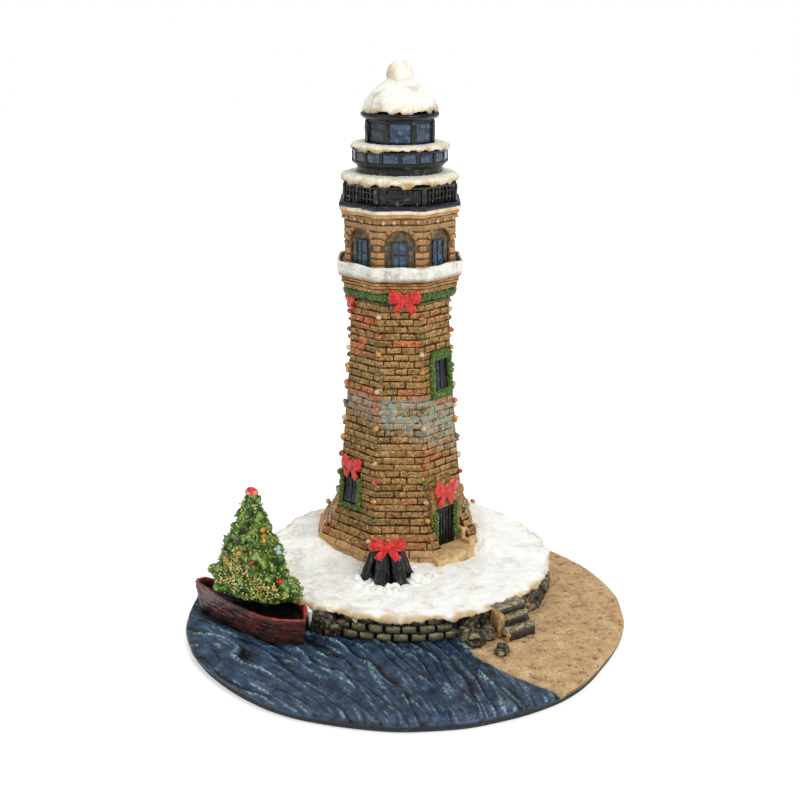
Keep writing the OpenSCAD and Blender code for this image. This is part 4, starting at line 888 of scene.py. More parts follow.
mortar = lathe([(0, plinth_top - 0.3)] + [(shaft_r(z) - 0.38, plinth_top + z) for z in np.linspace(0, shaft_h, 73)]
               + [(0, plinth_top + shaft_h)], per_side=10, wobble=0.08)
for side, holes in openings.items():
    for x, w, z, h in holes:
        place = on_side(side, x, shaft_r(z + h / 2), plinth_top + z + h / 2, lean_of(z, h) if z else 0)
        cut_block(mortar, place, (w, 3.2 if z else 13, h))
mortar_paint = painted(
    "dark_brown_mortar", "35 2A1504 55 46280C 70 6E4A1E", 1.4, roughness=0.85, glare=0.15)
blue_wash(mortar_paint, 0.85)
settle(mortar, "shaft_mortar", mortar_paint, "brick_resin", "tower_shaft")

# The windows of the shaft: gloss black openings with a bar down the middle, framed with evergreen that
# was modelled as short needles on a rope, painted green and dry-brushed yellow green.
# The light grey of this paint and of the other gloss black paints is laid on as painted glints.
black_gloss = painted(
    "gloss_black_paint", "35 050506 60 0C0D0F 75 191B1F", 1.6, brush_and_light="6A7078",
    roughness=0.3, coat=0.06, relief=0.07, glare=0.22)


def painted_glints(points, size, seed, gain, less):
    """Odd patches of painted glint, a light colour that stands in for light caught by the gloss."""
    return unit(lumps(points, size, 2, seed) * gain - less)


for node, side, x, w, h, z in (("low_window_pane", 7, -2.4, 5.8, 7.8, 12.2),
                               ("high_window_pane", 1, 1.4, 5.4, 9.0, 46.3)):
    bars = set_out(model_block(0.1, 1), [
        on_side(side, x + px * w, shaft_r(z + h / 2) - depth, plinth_top + z + h / 2 + pz * h, lean_of(z, h))
        @ sized(*size) for px, pz, depth, *size in (
            (0, 0, 0.35, w + 0.5, 0.7, h + 0.5), (0.02, 0, 0.0, 0.5, 0.4, h - 0.2),
            (-0.25, 0, 0.08, 0.35, 0.3, h - 0.2), (0.27, 0, 0.08, 0.35, 0.3, h - 0.2),
            (0, -0.44, -0.1, w - 0.2, 0.7, 0.7), (0, 0.1, 0.08, w - 0.2, 0.25, 0.3))])
    points = corners(bars)
    # Painted highlight: light grey glints in patches on the gloss black, and a light line along the foot of each
    # opening.
    mark(bars, tip=painted_glints(points, 1.1, 4.0, 1.6, 0.75) + (points[:, 2] < plinth_top + z + 0.9) * 0.4)
    roughen(bars, 0.8, 0.08, 2, 3.0)
    settle(bars, node + "_bars", black_gloss, "black_gloss_resin", node)

needle_green = painted(
    "evergreen_paint", "30 2C4312 48 47651F 62 66842F 75 8AA046", 1.1, wash_and_shade="1A280C",
    tones="0 2E4A12 40 4C7024 72 6E9036 90 9BAA50 100 D2C880", roughness=0.5, coat=0.12, grain=0.25, relief=0.06)


def pointing(at, aim):
    """A place whose Z points along a direction."""
    return Matrix.Translation(at) @ aim.to_track_quat("Z", "Y").to_matrix().to_4x4()


def evergreen(paths, thick, seed, per_mm=20):
    """Needles round a lumpy rope that follows each path, from point to point in mm."""
    draw = random.Random(seed)
    knots, leaves = [], []
    for start, end in (pair for path in paths for pair in zip(path, path[1:])):
        start, end = Vector(start), Vector(end)
        length, run = (end - start).length, (end - start).normalized()
        count = max(2, int(length / (thick * 0.3)))
        for k in range(count):
            knots.append(Matrix.Translation(start.lerp(end, (k + 0.5) / count))
                         @ sized(*[thick * draw.uniform(0.40, 0.48)] * 3))
        for _ in range(int(length * per_mm)):
            spoke = Vector((draw.gauss(0, 1), draw.gauss(0, 1), draw.gauss(0, 1)))
            spoke = (spoke - run * spoke.dot(run)).normalized()
            at = start.lerp(end, draw.random()) + spoke * thick * 0.43
            aim = (spoke * 0.75 + run * draw.uniform(-0.9, 0.9) + Vector((0, 0, draw.uniform(-0.3, 0.3)))).normalized()
            size = draw.uniform(0.16, 0.27)
            leaves.append((pointing(at, aim) @ sized(size, size, size * draw.uniform(1.3, 2.2)),
                           unit(draw.gauss(0.5, 0.22))))
    rope = set_out(pebble(2), knots, [0.25] * len(knots))
    mark(rope, hollow=np.full(len(rope.data.vertices), 0.45))
    roughen(rope, thick * 0.3, thick * 0.08, 2, seed)
    needles = set_out(pebble(1), *zip(*leaves))
    mark(needles, hollow=np.zeros(len(needles.data.vertices)))
    pick(needles, rope)
    bpy.ops.object.join()
    return needles


def frame_path(side, x, w, h, z, out):
    """The corners of an evergreen frame round an opening in one of the shaft's sides."""
    place = on_side(side, x, shaft_r(z), plinth_top + z, lean_of(z, h))
    ring = [(-w / 2 - 1.0, -0.8), (-w / 2 - 1.0, h + 0.8), (w / 2 + 1.0, h + 0.8), (w / 2 + 1.0, -0.8)]
    return [tuple(place @ Vector((px, -out, pz))) for px, pz in ring + ring[:1]]


low_frame = frame_path(7, -2.4, 5.4, 7.4, 12.0, 0.5)
high_frame = frame_path(1, 1.4, 5.2, 8.8, 46.4, 0.5)
over, under = [[(x, y, z + shift) for x, y, z in high_frame[k:k + 2]] for k, shift in ((1, 0.9), (3, -0.9))]
for name, node, paths, seed, thick in (("low", "low_window_sprigs", [low_frame[:2], low_frame[2:]], 31, 1.15),
                                       ("high", "high_window_sprigs", [high_frame, over, under], 32, 1.4)):
    settle(evergreen(paths, thick, seed), name + "_window_evergreen", needle_green, "evergreen_resin", node, smooth=60)

# The doorway: a porch of rough brown stone with a round head, two ribbed gloss black leaves, strips of
# evergreen at their sides and a wide stone step before them.
door_r, arch_r, arch_z, ring_r = 19.43, 6.4, 14.6, 5.3


def at_door(along, out, z):
    return on_side(1, along, door_r + out, plinth_top + z)


def round_head(r, deep, foot, vertices):
    """An upright slab with a round head, from its centre down to a foot."""
    bpy.ops.mesh.primitive_cylinder_add(vertices=vertices, radius=r * mm, depth=deep * mm, rotation=(math.pi / 2, 0, 0))
    slab = bpy.context.object
    bpy.ops.object.transform_apply(rotation=True)
    points = corners(slab)
    points[:, 2] = np.where(points[:, 2] < -0.01, foot, points[:, 2])
    move_corners(slab, points)
    return slab


porch = round_head(arch_r, 2.6, -arch_z, 48)
edited(bpy.ops.mesh.subdivide, number_cuts=2)
porch.data.transform(in_metres(at_door(0, -1.35, arch_z)))
cut_block(porch, at_door(-0.8, -0.6, 6.0), (8.0, 3.0, 12.0))
roughen(porch, 1.5, 0.1, 2, 4.0)
mark(porch, tone=0.3 + lumps(corners(porch), 2.5, 2, 5.0) * 0.4)
settle(porch, "door_porch_bed", brick_paint, "brick_resin", "door_surround")

draw = random.Random(41)
porch_stones = [(at_door(x, draw.uniform(-0.05, 0.12), 1.0 + k * 2.0), width, 1.8, draw.random() * 0.9)
                for x, width in ((-5.55, 1.5), (4.85, 2.9)) for k in range(7)]
for k in range(11):
    a = math.pi * (k + 0.5) / 11
    place = at_door(ring_r * math.cos(a), draw.uniform(0, 0.12), arch_z + ring_r * math.sin(a))
    porch_stones.append((place @ Matrix.Rotation(math.pi / 2 - a, 4, "Y"), 1.45, 2.1, draw.random() * 0.8))
for x, z, length in ((-2.3, 13.4, 3.6), (1.9, 13.4, 3.9), (0, 15.4, 4.2), (-3.2, 15.3, 1.7), (3.2, 15.3, 1.8),
                     (0, 17.3, 4.0)):
    porch_stones.append((at_door(x, 0.02, z), length, 1.8, draw.random() * 0.8))
porch_stones = lay(porch_stones)
roughen(porch_stones, 1.3, 0.12, 2, 9.0)
settle(porch_stones, "door_porch_stones", brick_paint, "brick_resin", "door_surround", smooth=50)

leaves = set_out(model_block(0.14, 2), [
    at_door(x, out, z) @ sized(w, t, h) for x, w, out, t, z, h in (
        [(-2.8, 3.95, -0.75, 1.0, 5.9, 12.0), (1.2, 3.95, -0.75, 1.0, 5.9, 12.0)]
        + [(-0.8 + s * (0.6 + 1.2 * k), 0.8, -0.15, 0.7, 5.9, 11.8) for s in (-1, 1) for k in range(3)]
        + [(-0.8, 7.8, -0.2, 0.6, z, 0.7) for z in (0.3, 11.3)])])
# Painted glints: light grey patches on the gloss black leaves.
mark(leaves, tip=painted_glints(corners(leaves), 1.3, 14.0, 1.5, 0.8))
roughen(leaves, 1.0, 0.14, 2, 5.0)
settle(leaves, "door_leaves_ribbed", black_gloss, "black_gloss_resin", "door_leaves")

strips = [[tuple(at_door(x, out, z).translation) for z in zs] for x, out, zs in (
    (-5.2, 0.45, (0.6, 4, 8, 11.4)), (3.25, 0.3, (2.0, 5, 9, 12.6)))]
settle(evergreen(strips, 1.6, 33), "door_evergreen", needle_green, "evergreen_resin", "door_sprigs", smooth=60)

slab = model_block(0.05, 8)
points = corners(slab)
front = 0.5 - points[:, 1]
points[:, 0] = points[:, 0] * (1 + 0.16 * front) - 0.16 * front
move_corners(slab, points)
step = set_out(slab, [on_side(1, along, out, z) @ sized(*size) for along, out, z, *size in (
    (-1.9, 23.1, 13.2, 13.6, 8.2, 4.1), (-0.9, 20.0, 13.9, 11.0, 3.2, 2.6), (5.7, 22.0, 14.0, 2.2, 5.6, 4.6),
    (5.7, 20.4, 17.2, 2.0, 2.6, 4.0))])
roughen(step, 2.2, 0.2, 3, 7.0)
mark(step, hollow=unit((13.0 - corners(step)[:, 2]) / 1.2) * 0.5)
settle(step, "door_step_slab", painted(
    "light_step_stone", "32 B18D5A 50 CDAA74 68 E2C794", 2.6, wash_and_shade="5A3F22", roughness=0.66, grain=0.4),
    "tan_stone_resin", "door_step", smooth=50)

# The bows: each one cast as a single crumpled knot of ribbon, with two loops and two short tails,
# under thick gloss red paint that catches small white lights; the folds and the knot carry painted
# shade, and the loops' edges a cream painted highlight.


def ball(r, segments, rings):
    bpy.ops.mesh.primitive_uv_sphere_add(segments=segments, ring_count=rings, radius=r * mm)
    return bpy.context.object


def ribbon_part(x, z, length, tall, thick, turn, pinch):
    """One loop or tail: a rounded lump that is narrow at the knot and wide at its end."""
    part = ball(1, 24, 16)
    along, across, up = corners(part).T
    along, up = (np.sign(side) * np.abs(side) ** 0.62 for side in (along, up))
    share = unit((along + 1) / 2)
    up = up * tall * (pinch + (1 - pinch) * share ** 0.7) * (1 + 0.12 * np.cos(up * 9))
    cos, sin = math.cos(turn), math.sin(turn)
    move_corners(part, np.column_stack([x + share * length * cos - up * sin, across * thick * (0.75 + 0.35 * share),
                                        z + share * length * sin + up * cos]))
    return part


parts = [ribbon_part(*part) for part in (
    (0.0, 0.3, 4.35, 2.3, 0.8, 0.1, 0.42), (0.0, 0.3, 4.35, 2.3, 0.8, math.pi - 0.1, 0.42),
    (0.2, -0.2, 4.5, 1.2, 0.55, -0.98, 0.7), (-0.2, -0.2, 4.3, 1.2, 0.55, math.pi + 0.98, 0.7),
    (-1.15, 0.1, 2.3, 1.3, 1.1, 0.0, 1.0))]
pick(*parts)
bpy.ops.object.join()
bow_model = bpy.context.object
bow_model.data.remesh_voxel_size = 0.17 * mm
bpy.ops.object.voxel_remesh()
x, y, z = (points := corners(bow_model)).T
facing = read_corners(bow_model.data.vertex_normals, "vector")
folds = (np.sin(np.arctan2(z, np.abs(x) + 0.4) * 8 + lumps(points, 2, 2, 3.0)) * 0.12 * unit((np.abs(x) - 0.8) / 1.2)
         + lumps(points, 1.2, 2, 5.0) * 0.15)
push_out(bow_model, folds)
# Painted light: the loops' edges, which face sideways, take a cream colour as painted highlight, and the folds and the
# knot are darkened as painted shade.
side_on = unit((0.6 - np.abs(facing[:, 1])) * 3)
mark(bow_model, tip=side_on * unit(lumps(points, 1.6, 2, 6.0) * 2 + 0.3) * 0.8,
     hollow=unit(-folds * 2.5 - 0.1 + (np.abs(np.abs(x) - 1.1) < 0.25) * 0.4))
red_gloss = painted(
    "gloss_red_paint", "35 B3140E 55 D62219 72 E5382C", 2.0, wash_and_shade="8A120C", brush_and_light="F0C0A4",
    roughness=0.25, coat=0.25, grain=0.5, relief=0.08, glare=0.35)


def tie_bows(name, node, places):
    bow = bow_model.copy()
    bow.data = bow_model.data.copy()
    scene.collection.objects.link(bow)
    settle(set_out(bow, places), name, red_gloss, "ribbon_red_resin", node, smooth=60)


garland_z, garland_r = 89.0, 16.1
tie_bows("door_bow_tied", "door_bow", [at_door(-1.3, 0.75, 17.4) @ sized(1.02, 0.85, 1.2)])
tie_bows("low_window_bow_tied", "low_window_bow", [
    on_side(7, -2.4, shaft_r(24) + 0.7, plinth_top + 23.6, lean_of(20, 6)) @ sized(0.92, 0.8, 1.05)])
around = []
for face, shift, low in ((0, 1.3, 0), (-67.5, 0, 2.3), (-157.5, 0, 0), (131, 0, 0)):
    reach = garland_r + 0.35 if face == 0 else 15.3 if low else (garland_r + 0.2) / math.cos(half)
    around.append(on_side(face / 45, shift, reach, garland_z - low) @ sized(1.02 - low * 0.15, 0.9, 1.0 - low * 0.12))
tie_bows("garland_bows_tied", "garland_bows", around)
tie_bows("pile_bow_tied", "pile_bow", [
    place_at(pile_at[0] + 0.3, pile_at[1] - 4.2, 24.0, 0.0, -0.35) @ sized(1.14, 1.5, 0.95)])
bpy.data.objects.remove(bow_model)

# The light bulbs: drops of thick paint on small cast knobs up the eight corners of the shaft, in white,
# red, amber and green, no two quite alike.
first_bulb, bulb_pitch = 4.4, 5.35
for shift, (name, colours) in enumerate((
        ("white", "30 9E8662 50 CDBD9E 70 E2AE88"), ("red", "30 82260F 50 B4401F 66 DE8A5E"),
        ("amber", "30 96571E 50 C4802F 70 E2AE5C"), ("green", "30 2A3A14 50 465C22 70 748648"))):
    draw = random.Random(50 + shift)
    bulb = ball(0.8, 14, 9)
    points = corners(bulb)
    points[:, 0] += np.where(points[:, 0] > 0, points[:, 0] ** 2 * 0.22, 0)
    move_corners(bulb, points)
    places = []
    for corner in range(8):
        for i in range(13):
            if ("rawg", "wgar")[corner % 2][i % 4] == name[0]:
                h = first_bulb + i * bulb_pitch + jitter(0.35)
                a = half + corner * math.pi / 4
                size = draw.uniform(0.85, 1.1)
                places.append(place_at(
                    *round_tower(a, shaft_r(max(h - 0.8, 0)) / math.cos(half) + 0.28), plinth_top + h, a, 0,
                    draw.uniform(-0.2, 0.3), (size * 0.95, size, size * draw.uniform(0.85, 1.1))))
    drops = set_out(bulb, places)
    roughen(drops, 0.9, 0.16, 2, 60.0 + shift)
    settle(drops, name + "_bulbs", painted(
        name + "_bulb_paint", colours, 1.6, roughness=0.3, coat=0.6, grain=0.6, mottle=0.2,
        specks=[("F4E8D8", 0.9, 0.3)]), "bulb_" + name + "_resin", "bulbs_" + name, smooth=70)

# The corbel: two steps of brown stone at the head of the shaft, round which a thick evergreen garland is
# wound, with glossy red bows tied to it.
corbel = lathe([(0, 86.7), (14.1, 86.7), (14.2, 87.4), (13.6, 87.6), (13.6, 90.3), (15.9, 90.5), (16.1, 91.6),
                (0, 91.7)], per_side=10, rows=2, wobble=0.12, seed=5.0)
points = corners(corbel)
# Painted shade: the neck under the upper step, behind the garland, is darkened.
mark(corbel, hollow=unit((90.6 - points[:, 2]) / 2) * 0.8, tone=0.3 + lumps(points, 3, 2, 8.0) * 0.4)
settle(corbel, "corbel_steps", brick_paint, "brick_resin", "corbel")

garland = []
for a in np.linspace(0, 2 * math.pi, 41):
    r = 14.75 / math.cos((a + half) % (math.pi / 4) - half) - 0.1
    garland.append((*round_tower(a, r), garland_z + 0.2 + 0.3 * math.sin(a * 5)))
settle(evergreen([garland], 2.9, 34, per_mm=22), "garland_wound", needle_green, "evergreen_resin", "garland_ring",
       smooth=60)

# The cornice: a moulded band of orange brown stone under the lower gallery, cast in one with the tower
# and washed dark in its groove, with painted shade along its underside.
cornice = lathe([(0, 91.72), (15.9, 91.72), (16.35, 91.9), (16.5, 92.3), (16.2, 92.6), (16.1, 92.75), (16.5, 92.95),
                 (16.45, 93.28), (0, 93.28)], per_side=12, rows=2, wobble=0.12, seed=7.0)
z = corners(cornice)[:, 2]
# The groove is washed dark; the underside is darkened as painted shade.
mark(cornice, hollow=bump(z - 92.7, 0.18) * 0.8 + (z < 91.95) * 0.7)
settle(cornice, "cornice_band", painted(
    "orange_brown_stone", "33 7A5222 50 AC793C 68 D2A366", 2.0, wash_and_shade="3E2510", specks=[("D9B98A", 0.7, 0.3)],
    roughness=0.62, grain=0.35), "tan_stone_resin", "cornice")

# The lower gallery: a shallow eight-sided dish heaped with snow, white on its edge with grey blue smudges,
# with painted shade in tan underneath and in brown round the foot of the window storey.
dish = lathe([(0, 93.32), (16.3, 93.32), (17.2, 93.7), (17.65, 94.5), (17.8, 96.0), (17.7, 97.3), (17.45, 97.95),
              (17.0, 98.08), (16.75, 97.7), (16.7, 96.9), (16.4, 96.4), (0, 96.32)],
             per_side=16, rows=2, wobble=0.3, seed=9.0)
x, y, z = (points := corners(dish)).T
# Painted shade: the underside and the floor round the storey are darkened, with a few patches elsewhere.
mark(dish, hollow=unit(unit((95.2 - z) / 1.2) * 0.9 + (eight_sided(x, y, 17.2) < -0.25) * (z < 97.4)
                       + unit(lumps(points, 2.2, 2, 4.0) - 0.35) * 0.3))
settle(dish, "lower_gallery_snow", painted(
    "shaded_snow_paint", "33 AEB4B4 43 DCDBD0 60 F0F0E6", 4.5, wash_and_shade="8A6236", specks=[("A58E6C", 0.6, 0.3)],
    roughness=0.7, grain=0.4, relief=0.12), "snow_resin", "lower_gallery", smooth=55)

# The window storey: courses of tan stone round a deep arch in each of the eight sides, with the corner
# stones lighter and redder. The back of each arch is grey olive.
storey_low, storey_r, storey_h, storey_courses = 96.3, 15.6, 15.0, 8
spring_z, arch_ring_r, clear_r = 7.4, 4.75, 5.3
storey = lathe([(0, 96.33), (15.1, 96.33), (15.1, 111.25), (0, 111.25)], per_side=8, rows=8)
for side in range(8):
    arch = round_head(4.1, 1.3, -spring_z - 2, 40)
    arch.matrix_world = in_metres(on_side(side, 0, 15.2, storey_low + spring_z))
    cut_out(storey, arch)
settle(storey, "storey_core", painted(
    "grey_olive_plaster", "35 3A2F1D 50 5E4D32 65 827050", 1.4, roughness=0.75, relief=0.16, mottle=0.22),
    "brick_resin", "window_storey")

draw = random.Random(61)
storey_stones = []
storey_w = 2 * storey_r * math.tan(half)
pitch = storey_h / storey_courses
for side in range(8):
    for course in range(storey_courses):
        z = (course + 0.5) * pitch
        above = max(z + pitch / 2 - spring_z, 0)
        gap = math.sqrt(max(clear_r ** 2 - above ** 2, 0)) if above > 0 else 4.15
        left, right = (-gap, gap) if gap > 0.5 else (storey_w * 0.02, storey_w * 0.02)
        for a, b in ((-storey_w / 2, left), (right, storey_w / 2)):
            if b - a >= 0.7:
                storey_stones.append((
                    on_side(side, (a + b) / 2, storey_r - 0.02 + draw.uniform(-0.1, 0.04), storey_low + z),
                    b - a - 0.02, pitch - 0.22,
                    draw.uniform(0.75, 1.0) if course % 2 == 0 and gap > 0.5 else draw.uniform(0.0, 0.7)))
    for k in range(9):
        a = math.pi * (k + 0.5) / 9
        place = on_side(side, arch_ring_r * math.cos(a), storey_r + 0.08,
                        storey_low + spring_z + arch_ring_r * math.sin(a))
        storey_stones.append((place @ Matrix.Rotation(math.pi / 2 - a, 4, "Y"), 1.5, 1.25, draw.uniform(0, 0.8)))
storey_stones = lay(storey_stones)
roughen(storey_stones, 1.5, 0.13, 2, 6.0)
# The light colour of this paint lies on the upper part of each stone as painted highlight.
settle(storey_stones, "storey_stones", painted(
    "tan_course_stone", "30 7A5530 48 9A7447 70 B08A58", 2.0, wash_and_shade="452A12", brush_and_light="CBA26A",
    tones="0 85623A 40 9B7548 70 A27F50 80 B87A45 100 C98C58", coat=0.08, grain=0.35),
    "brick_resin", "window_storey", smooth=50)

panes = set_out(model_block(0.12, 1), [
    on_side(side, x, storey_r - 1.22 + out, storey_low + z) @ sized(w, 0.45, h) for side in range(8)
    for x, z, w, h, out in ((0, 4.3, 4.5, 8.3, 0.25), (-2.05, 4.3, 0.5, 8.3, 0.62), (2.05, 4.3, 0.5, 8.3, 0.62),
                            (0, 8.2, 4.5, 0.5, 0.62), (0, 0.4, 4.5, 0.5, 0.62), (0, 4.7, 3.8, 0.35, 0.55),
                            (-0.25, 4.3, 0.32, 7.8, 0.58))])
x, y, z = corners(panes).T
out = eight_sided(x, y, 14.95)
mark(panes, hollow=(out > 0.08) * 0.85, tip=unit((98.6 - z) / 1.5) * (out <= 0.08))
roughen(panes, 1.0, 0.06, 2, 7.0)
# The teal is the storey sashes' own colour at their foot, and painted glints on the watch room and lantern panes.
blue_pane = painted(
    "slate_blue_pane", "32 131A26 50 2B3F58 68 4C6680", 1.3, wash_and_shade="0E0F11", brush_and_light="5C9494",
    roughness=0.28, coat=0.2, grain=0.4, relief=0.08, glare=0.35)
settle(panes, "storey_sashes", blue_pane, "blue_pane_resin", "storey_windows")

# The beads: a row of small lamps under the deck, four to a side, cast as knobs on the stones and dabbed
# with tan and cream paint.
draw = random.Random(62)
beads = set_out(ball(0.45, 12, 8), [
    on_side(side, (i - 1.5) * 3.12 + jitter(0.2), storey_r + 0.42, 110.2 + jitter(0.2))
    @ sized(1.1, 1.0, draw.uniform(0.9, 1.25)) for side in range(8) for i in range(4)])
roughen(beads, 0.7, 0.06, 2, 8.0)
cream_paint = painted(
    "cream_paint", "33 C6AC84 45 DCCBA8 62 EDE4CC", 3.0, wash_and_shade="B27C3A", specks=[("9C7A4E", 0.6, 0.3)], grain=0.4)
settle(beads, "lamp_beads", painted(
    "tan_bead_paint", "35 9C7748 50 BF9C69 66 E6D6B2", 3.0, roughness=0.5, coat=0.2, grain=0.4, relief=0.08),
    "cream_resin", "bead_course")

# The deck: an eight-sided slab of the tower's casting with a moulded edge, painted cream above and tan
# orange on its lower half.
deck = lathe([(0, 111.32), (16.2, 111.32), (16.6, 111.6), (16.55, 112.2), (16.95, 112.45), (17.0, 113.1),
              (16.8, 113.46), (0, 113.46)], per_side=14, rows=2, wobble=0.2, seed=11.0)
points = corners(deck)
mark(deck, hollow=unit((112.75 - points[:, 2]) / 0.5) * 0.85 + unit(lumps(points, 2, 2, 5.0) - 0.4) * 0.4)
settle(deck, "deck_slab", cream_paint, "cream_resin", "gallery_deck", smooth=50)

# The railing: eight cast panels of close balusters between corner posts, under one coat of gloss black
# that half fills the gaps, on a foot touched with navy.
rail = lathe([(14.1, 113.5), (16.8, 113.5), (16.9, 113.9), (16.7, 114.7), (15.2, 114.85), (15.0, 115.1), (14.95, 118.7),
              (15.2, 118.95), (15.6, 119.1), (15.65, 119.6), (15.4, 119.8), (14.2, 119.8), (14.1, 113.5)],
             per_side=18, rows=3, wobble=0.08, seed=12.0)
roughen(rail, 0.8, 0.16, 2, 13.0)
bars = []
for side in range(8):
    bars += [on_side(side, (k - 4) * 1.36, 15.12, 117.0) @ sized(0.5, 0.75, 4.4) for k in range(9)]
    bars.append(on_side(side + 0.5, 0, 15.2 / math.cos(half), 117.1) @ sized(1.2, 1.2, 5.0))
    bars += [on_side(side, 0, 15.08, z) @ sized(12.0, 0.55, 0.45) for z in (116.2, 117.9)]
posts = set_out(model_block(0.2, 3), bars)
roughen(posts, 0.9, 0.14, 2, 14.0)
rail_paint = painted(
    "gloss_black_rail_paint", "35 070706 60 11110F 75 262521", 1.3, wash_and_shade="11183A", brush_and_light="8A8880",
    roughness=0.3, coat=0.15, glare=0.3)
# Painted glints: light grey patches on the gloss black of the panels and bars.
for part, name in ((rail, "railing_panels"), (posts, "railing_bars")):
    points = corners(part)
    mark(part, tip=painted_glints(points, 1.2, 15.0, 1.8, 0.8) * 0.8, hollow=(points[:, 2] < 114.6) * 0.6)
    settle(part, name, rail_paint, "black_gloss_resin", "gallery_railing")

# The snow on the upper gallery: a thick ring with a scalloped, dripping edge, tan towards the bottom and
# speckled brown.
ring_snow = painted(
    "ring_snow_paint", "30 C9C8BC 42 E8E6DA 60 F3F2E8", 4.5, wash_and_shade="AC8A52", brush_and_light="DFD0A4",
    specks=[("8B6F4E", 0.5, 0.29)], roughness=0.7, grain=0.4)


def snow_ring(name, node, inner, outer, low, high, drip, seed):
    """A ring of snow whose section runs from its inner edge over the top, round the lip and back."""
    tall = high - low
    out = np.array([0, 0.35, 0.65, 0.85, 0.95, 1.0, 1.0, 0.97, 0.9, 0.82, 0.7, 0.45, 0.2, 0, 0])
    up = np.array([1, 0.97, 0.9, 0.78, 0.62, 0.42, 0.2, 0.04, 0, 0.06, 0.12, 0.14, 0.14, 0.14, 1])

    def place(u, v):
        turn = u * 2 * np.pi
        way = circle(turn, outer)
        hang = np.clip(lumps(way, 3, 2, seed + 1) * 0.9 + lumps(way, 0.9, 2, seed + 6) * 0.3, -0.7, 0.8) * drip
        k = np.round(v * 14).astype(int)
        r = inner + (outer - inner + lumps(way, 4.5, 2, seed) * 0.5 * 0.6) * out[k]
        z = low + tall * up[k] - hang * unit(1 - up[k] * 1.7) * (out[k] > 0.75)
        z += flat_lumps(r * np.cos(turn), r * np.sin(turn), 2.2, 2, seed + 2) * 0.16 * (up[k] > 0.5) * (out[k] > 0.1)
        return *round_tower(turn, r), z
    ring = wrapped(300, 14, place)
    x, y, z = (points := corners(ring)).T
    # The ring is darker tan towards the bottom.
    mark(ring, hollow=unit((low + tall * (0.6 + lumps(points, 2.5, 2, seed + 3) * 0.3) - z) / (tall * 0.45))
         * np.clip(0.8 + lumps(points, 3, 2, seed + 4) * 0.6, 0.2, 1),
         tip=unit((np.hypot(x - tower[0], y - tower[1]) - outer + 2.2) / 1.6 + lumps(points, 2.5, 2, seed + 7)) * 0.85)
    roughen(ring, 0.9, 0.1, 2, seed + 5)
    settle(ring, name, ring_snow, "snow_resin", node, smooth=70)


snow_ring("gallery_snow_ring", "gallery_snow", 12.02, 16.7, 119.85, 122.2, 0.9, 71.0)

# The watch room: a round gloss black drum on a wider flared neck, ringed with small square windows
# whose sashes are thin raised bars.
neck = lathe([(0, 119.9), (12, 119.9), (12, 123.7), (12.15, 124.0), (12.9, 124.6), (13.0, 124.78), (0, 124.78)],
             per_side=12, rows=3, wobble=0.1, seed=15.0, eight=False)
# Painted glints: light grey patches on the gloss black drum.
mark(neck, tip=painted_glints(corners(neck), 1.6, 16.0, 1.5, 0.6) * 0.7)
neck_paint = painted(
    "gloss_black_drum_paint", "35 060607 60 101114 75 26272B", 1.8, wash_and_shade="050506", brush_and_light="84847E",
    roughness=0.28, coat=0.15, relief=0.08, glare=0.3)
settle(neck, "watch_neck_drum", neck_paint, "black_gloss_resin", "watch_neck")

room = lathe([(0, 124.82), (13.2, 124.82), (13.5, 125.0), (13.5, 125.4), (13.0, 125.55), (12.95, 128.1), (13.45, 128.2),
              (13.5, 128.5), (13.3, 128.78), (0, 128.78)], per_side=12, rows=2, wobble=0.06, seed=17.0, eight=False)
settle(room, "watch_room_drum", neck_paint, "black_gloss_resin", "watch_room")
watch_z = 126.8
sills, glass = [], []
for k in range(16):
    a = (k + 0.5) * math.pi / 8
    beside = a + math.pi / 16 + jitter(0.03)
    sills.append(place_at(*round_tower(beside, 13.12), watch_z, beside, 0, 0, (0.6, draw.uniform(0.7, 1.4), 2.9)))
    glass.append(place_at(*round_tower(a, 12.86), watch_z, a, 0, 0, (0.45, 4.0, 2.5)))
bars = set_out(model_block(0.15, 2), sills)
roughen(bars, 0.9, 0.07, 2, 18.0)
settle(bars, "watch_room_bars", neck_paint, "black_gloss_resin", "watch_room")


def glaze(glass, edge, fade, smudge, most, glint, name, node):
    """Panes with painted shade to the left of an edge, in smudges, and painted glints in patches."""
    points = corners(glass)
    mark(glass, tip=painted_glints(points, 1.4, 24.0, 1.5, 0.5) * glint,
         hollow=np.clip((edge - points[:, 0]) / fade + lumps(points, 2.5, 2, 25.0) * smudge, 0, most))
    settle(glass, name, blue_pane, "blue_pane_resin", node)


glass = set_out(model_block(0.1, 2), glass)
roughen(glass, 0.8, 0.09, 2, 19.0)
glaze(glass, tower[0] - 6, 5, 1, 0.85, 0.6, "watch_room_panes", "watch_panes")
snow_ring("upper_snow_ring", "upper_snow", 9.9, 13.8, 128.85, 130.3, 0.75, 81.0)

# The lantern: eight gloss black corner bars with a sill and a head round mottled blue panes, all cast
# solid in one piece and painted.
lantern_z = 133.3
frame_solid = lathe([(0, 128.85), (9.3, 128.85), (9.3, 130.6), (8.75, 130.75), (8.7, 135.9), (9.3, 136.0),
                     (9.3, 136.65), (0, 136.65)], per_side=8, rows=2, wobble=0.05, seed=21.0)
settle(frame_solid, "lantern_sill_and_head", neck_paint, "black_gloss_resin", "lantern_frame")
bars = set_out(model_block(0.2, 3), [
    on_side(side + 0.5, 0, 9.1 / math.cos(half) - 0.1, lantern_z) @ sized(draw.uniform(1.2, 1.9), 1.0, 6.0)
    for side in range(8)])
roughen(bars, 0.9, 0.1, 2, 22.0)
settle(bars, "lantern_bars", neck_paint, "black_gloss_resin", "lantern_frame")
glass = set_out(model_block(0.08, 5), [
    on_side(side, 0, 8.72, lantern_z) @ sized(6.7, 0.4, 5.2) for side in range(8)])
roughen(glass, 1.1, 0.14, 2, 23.0)
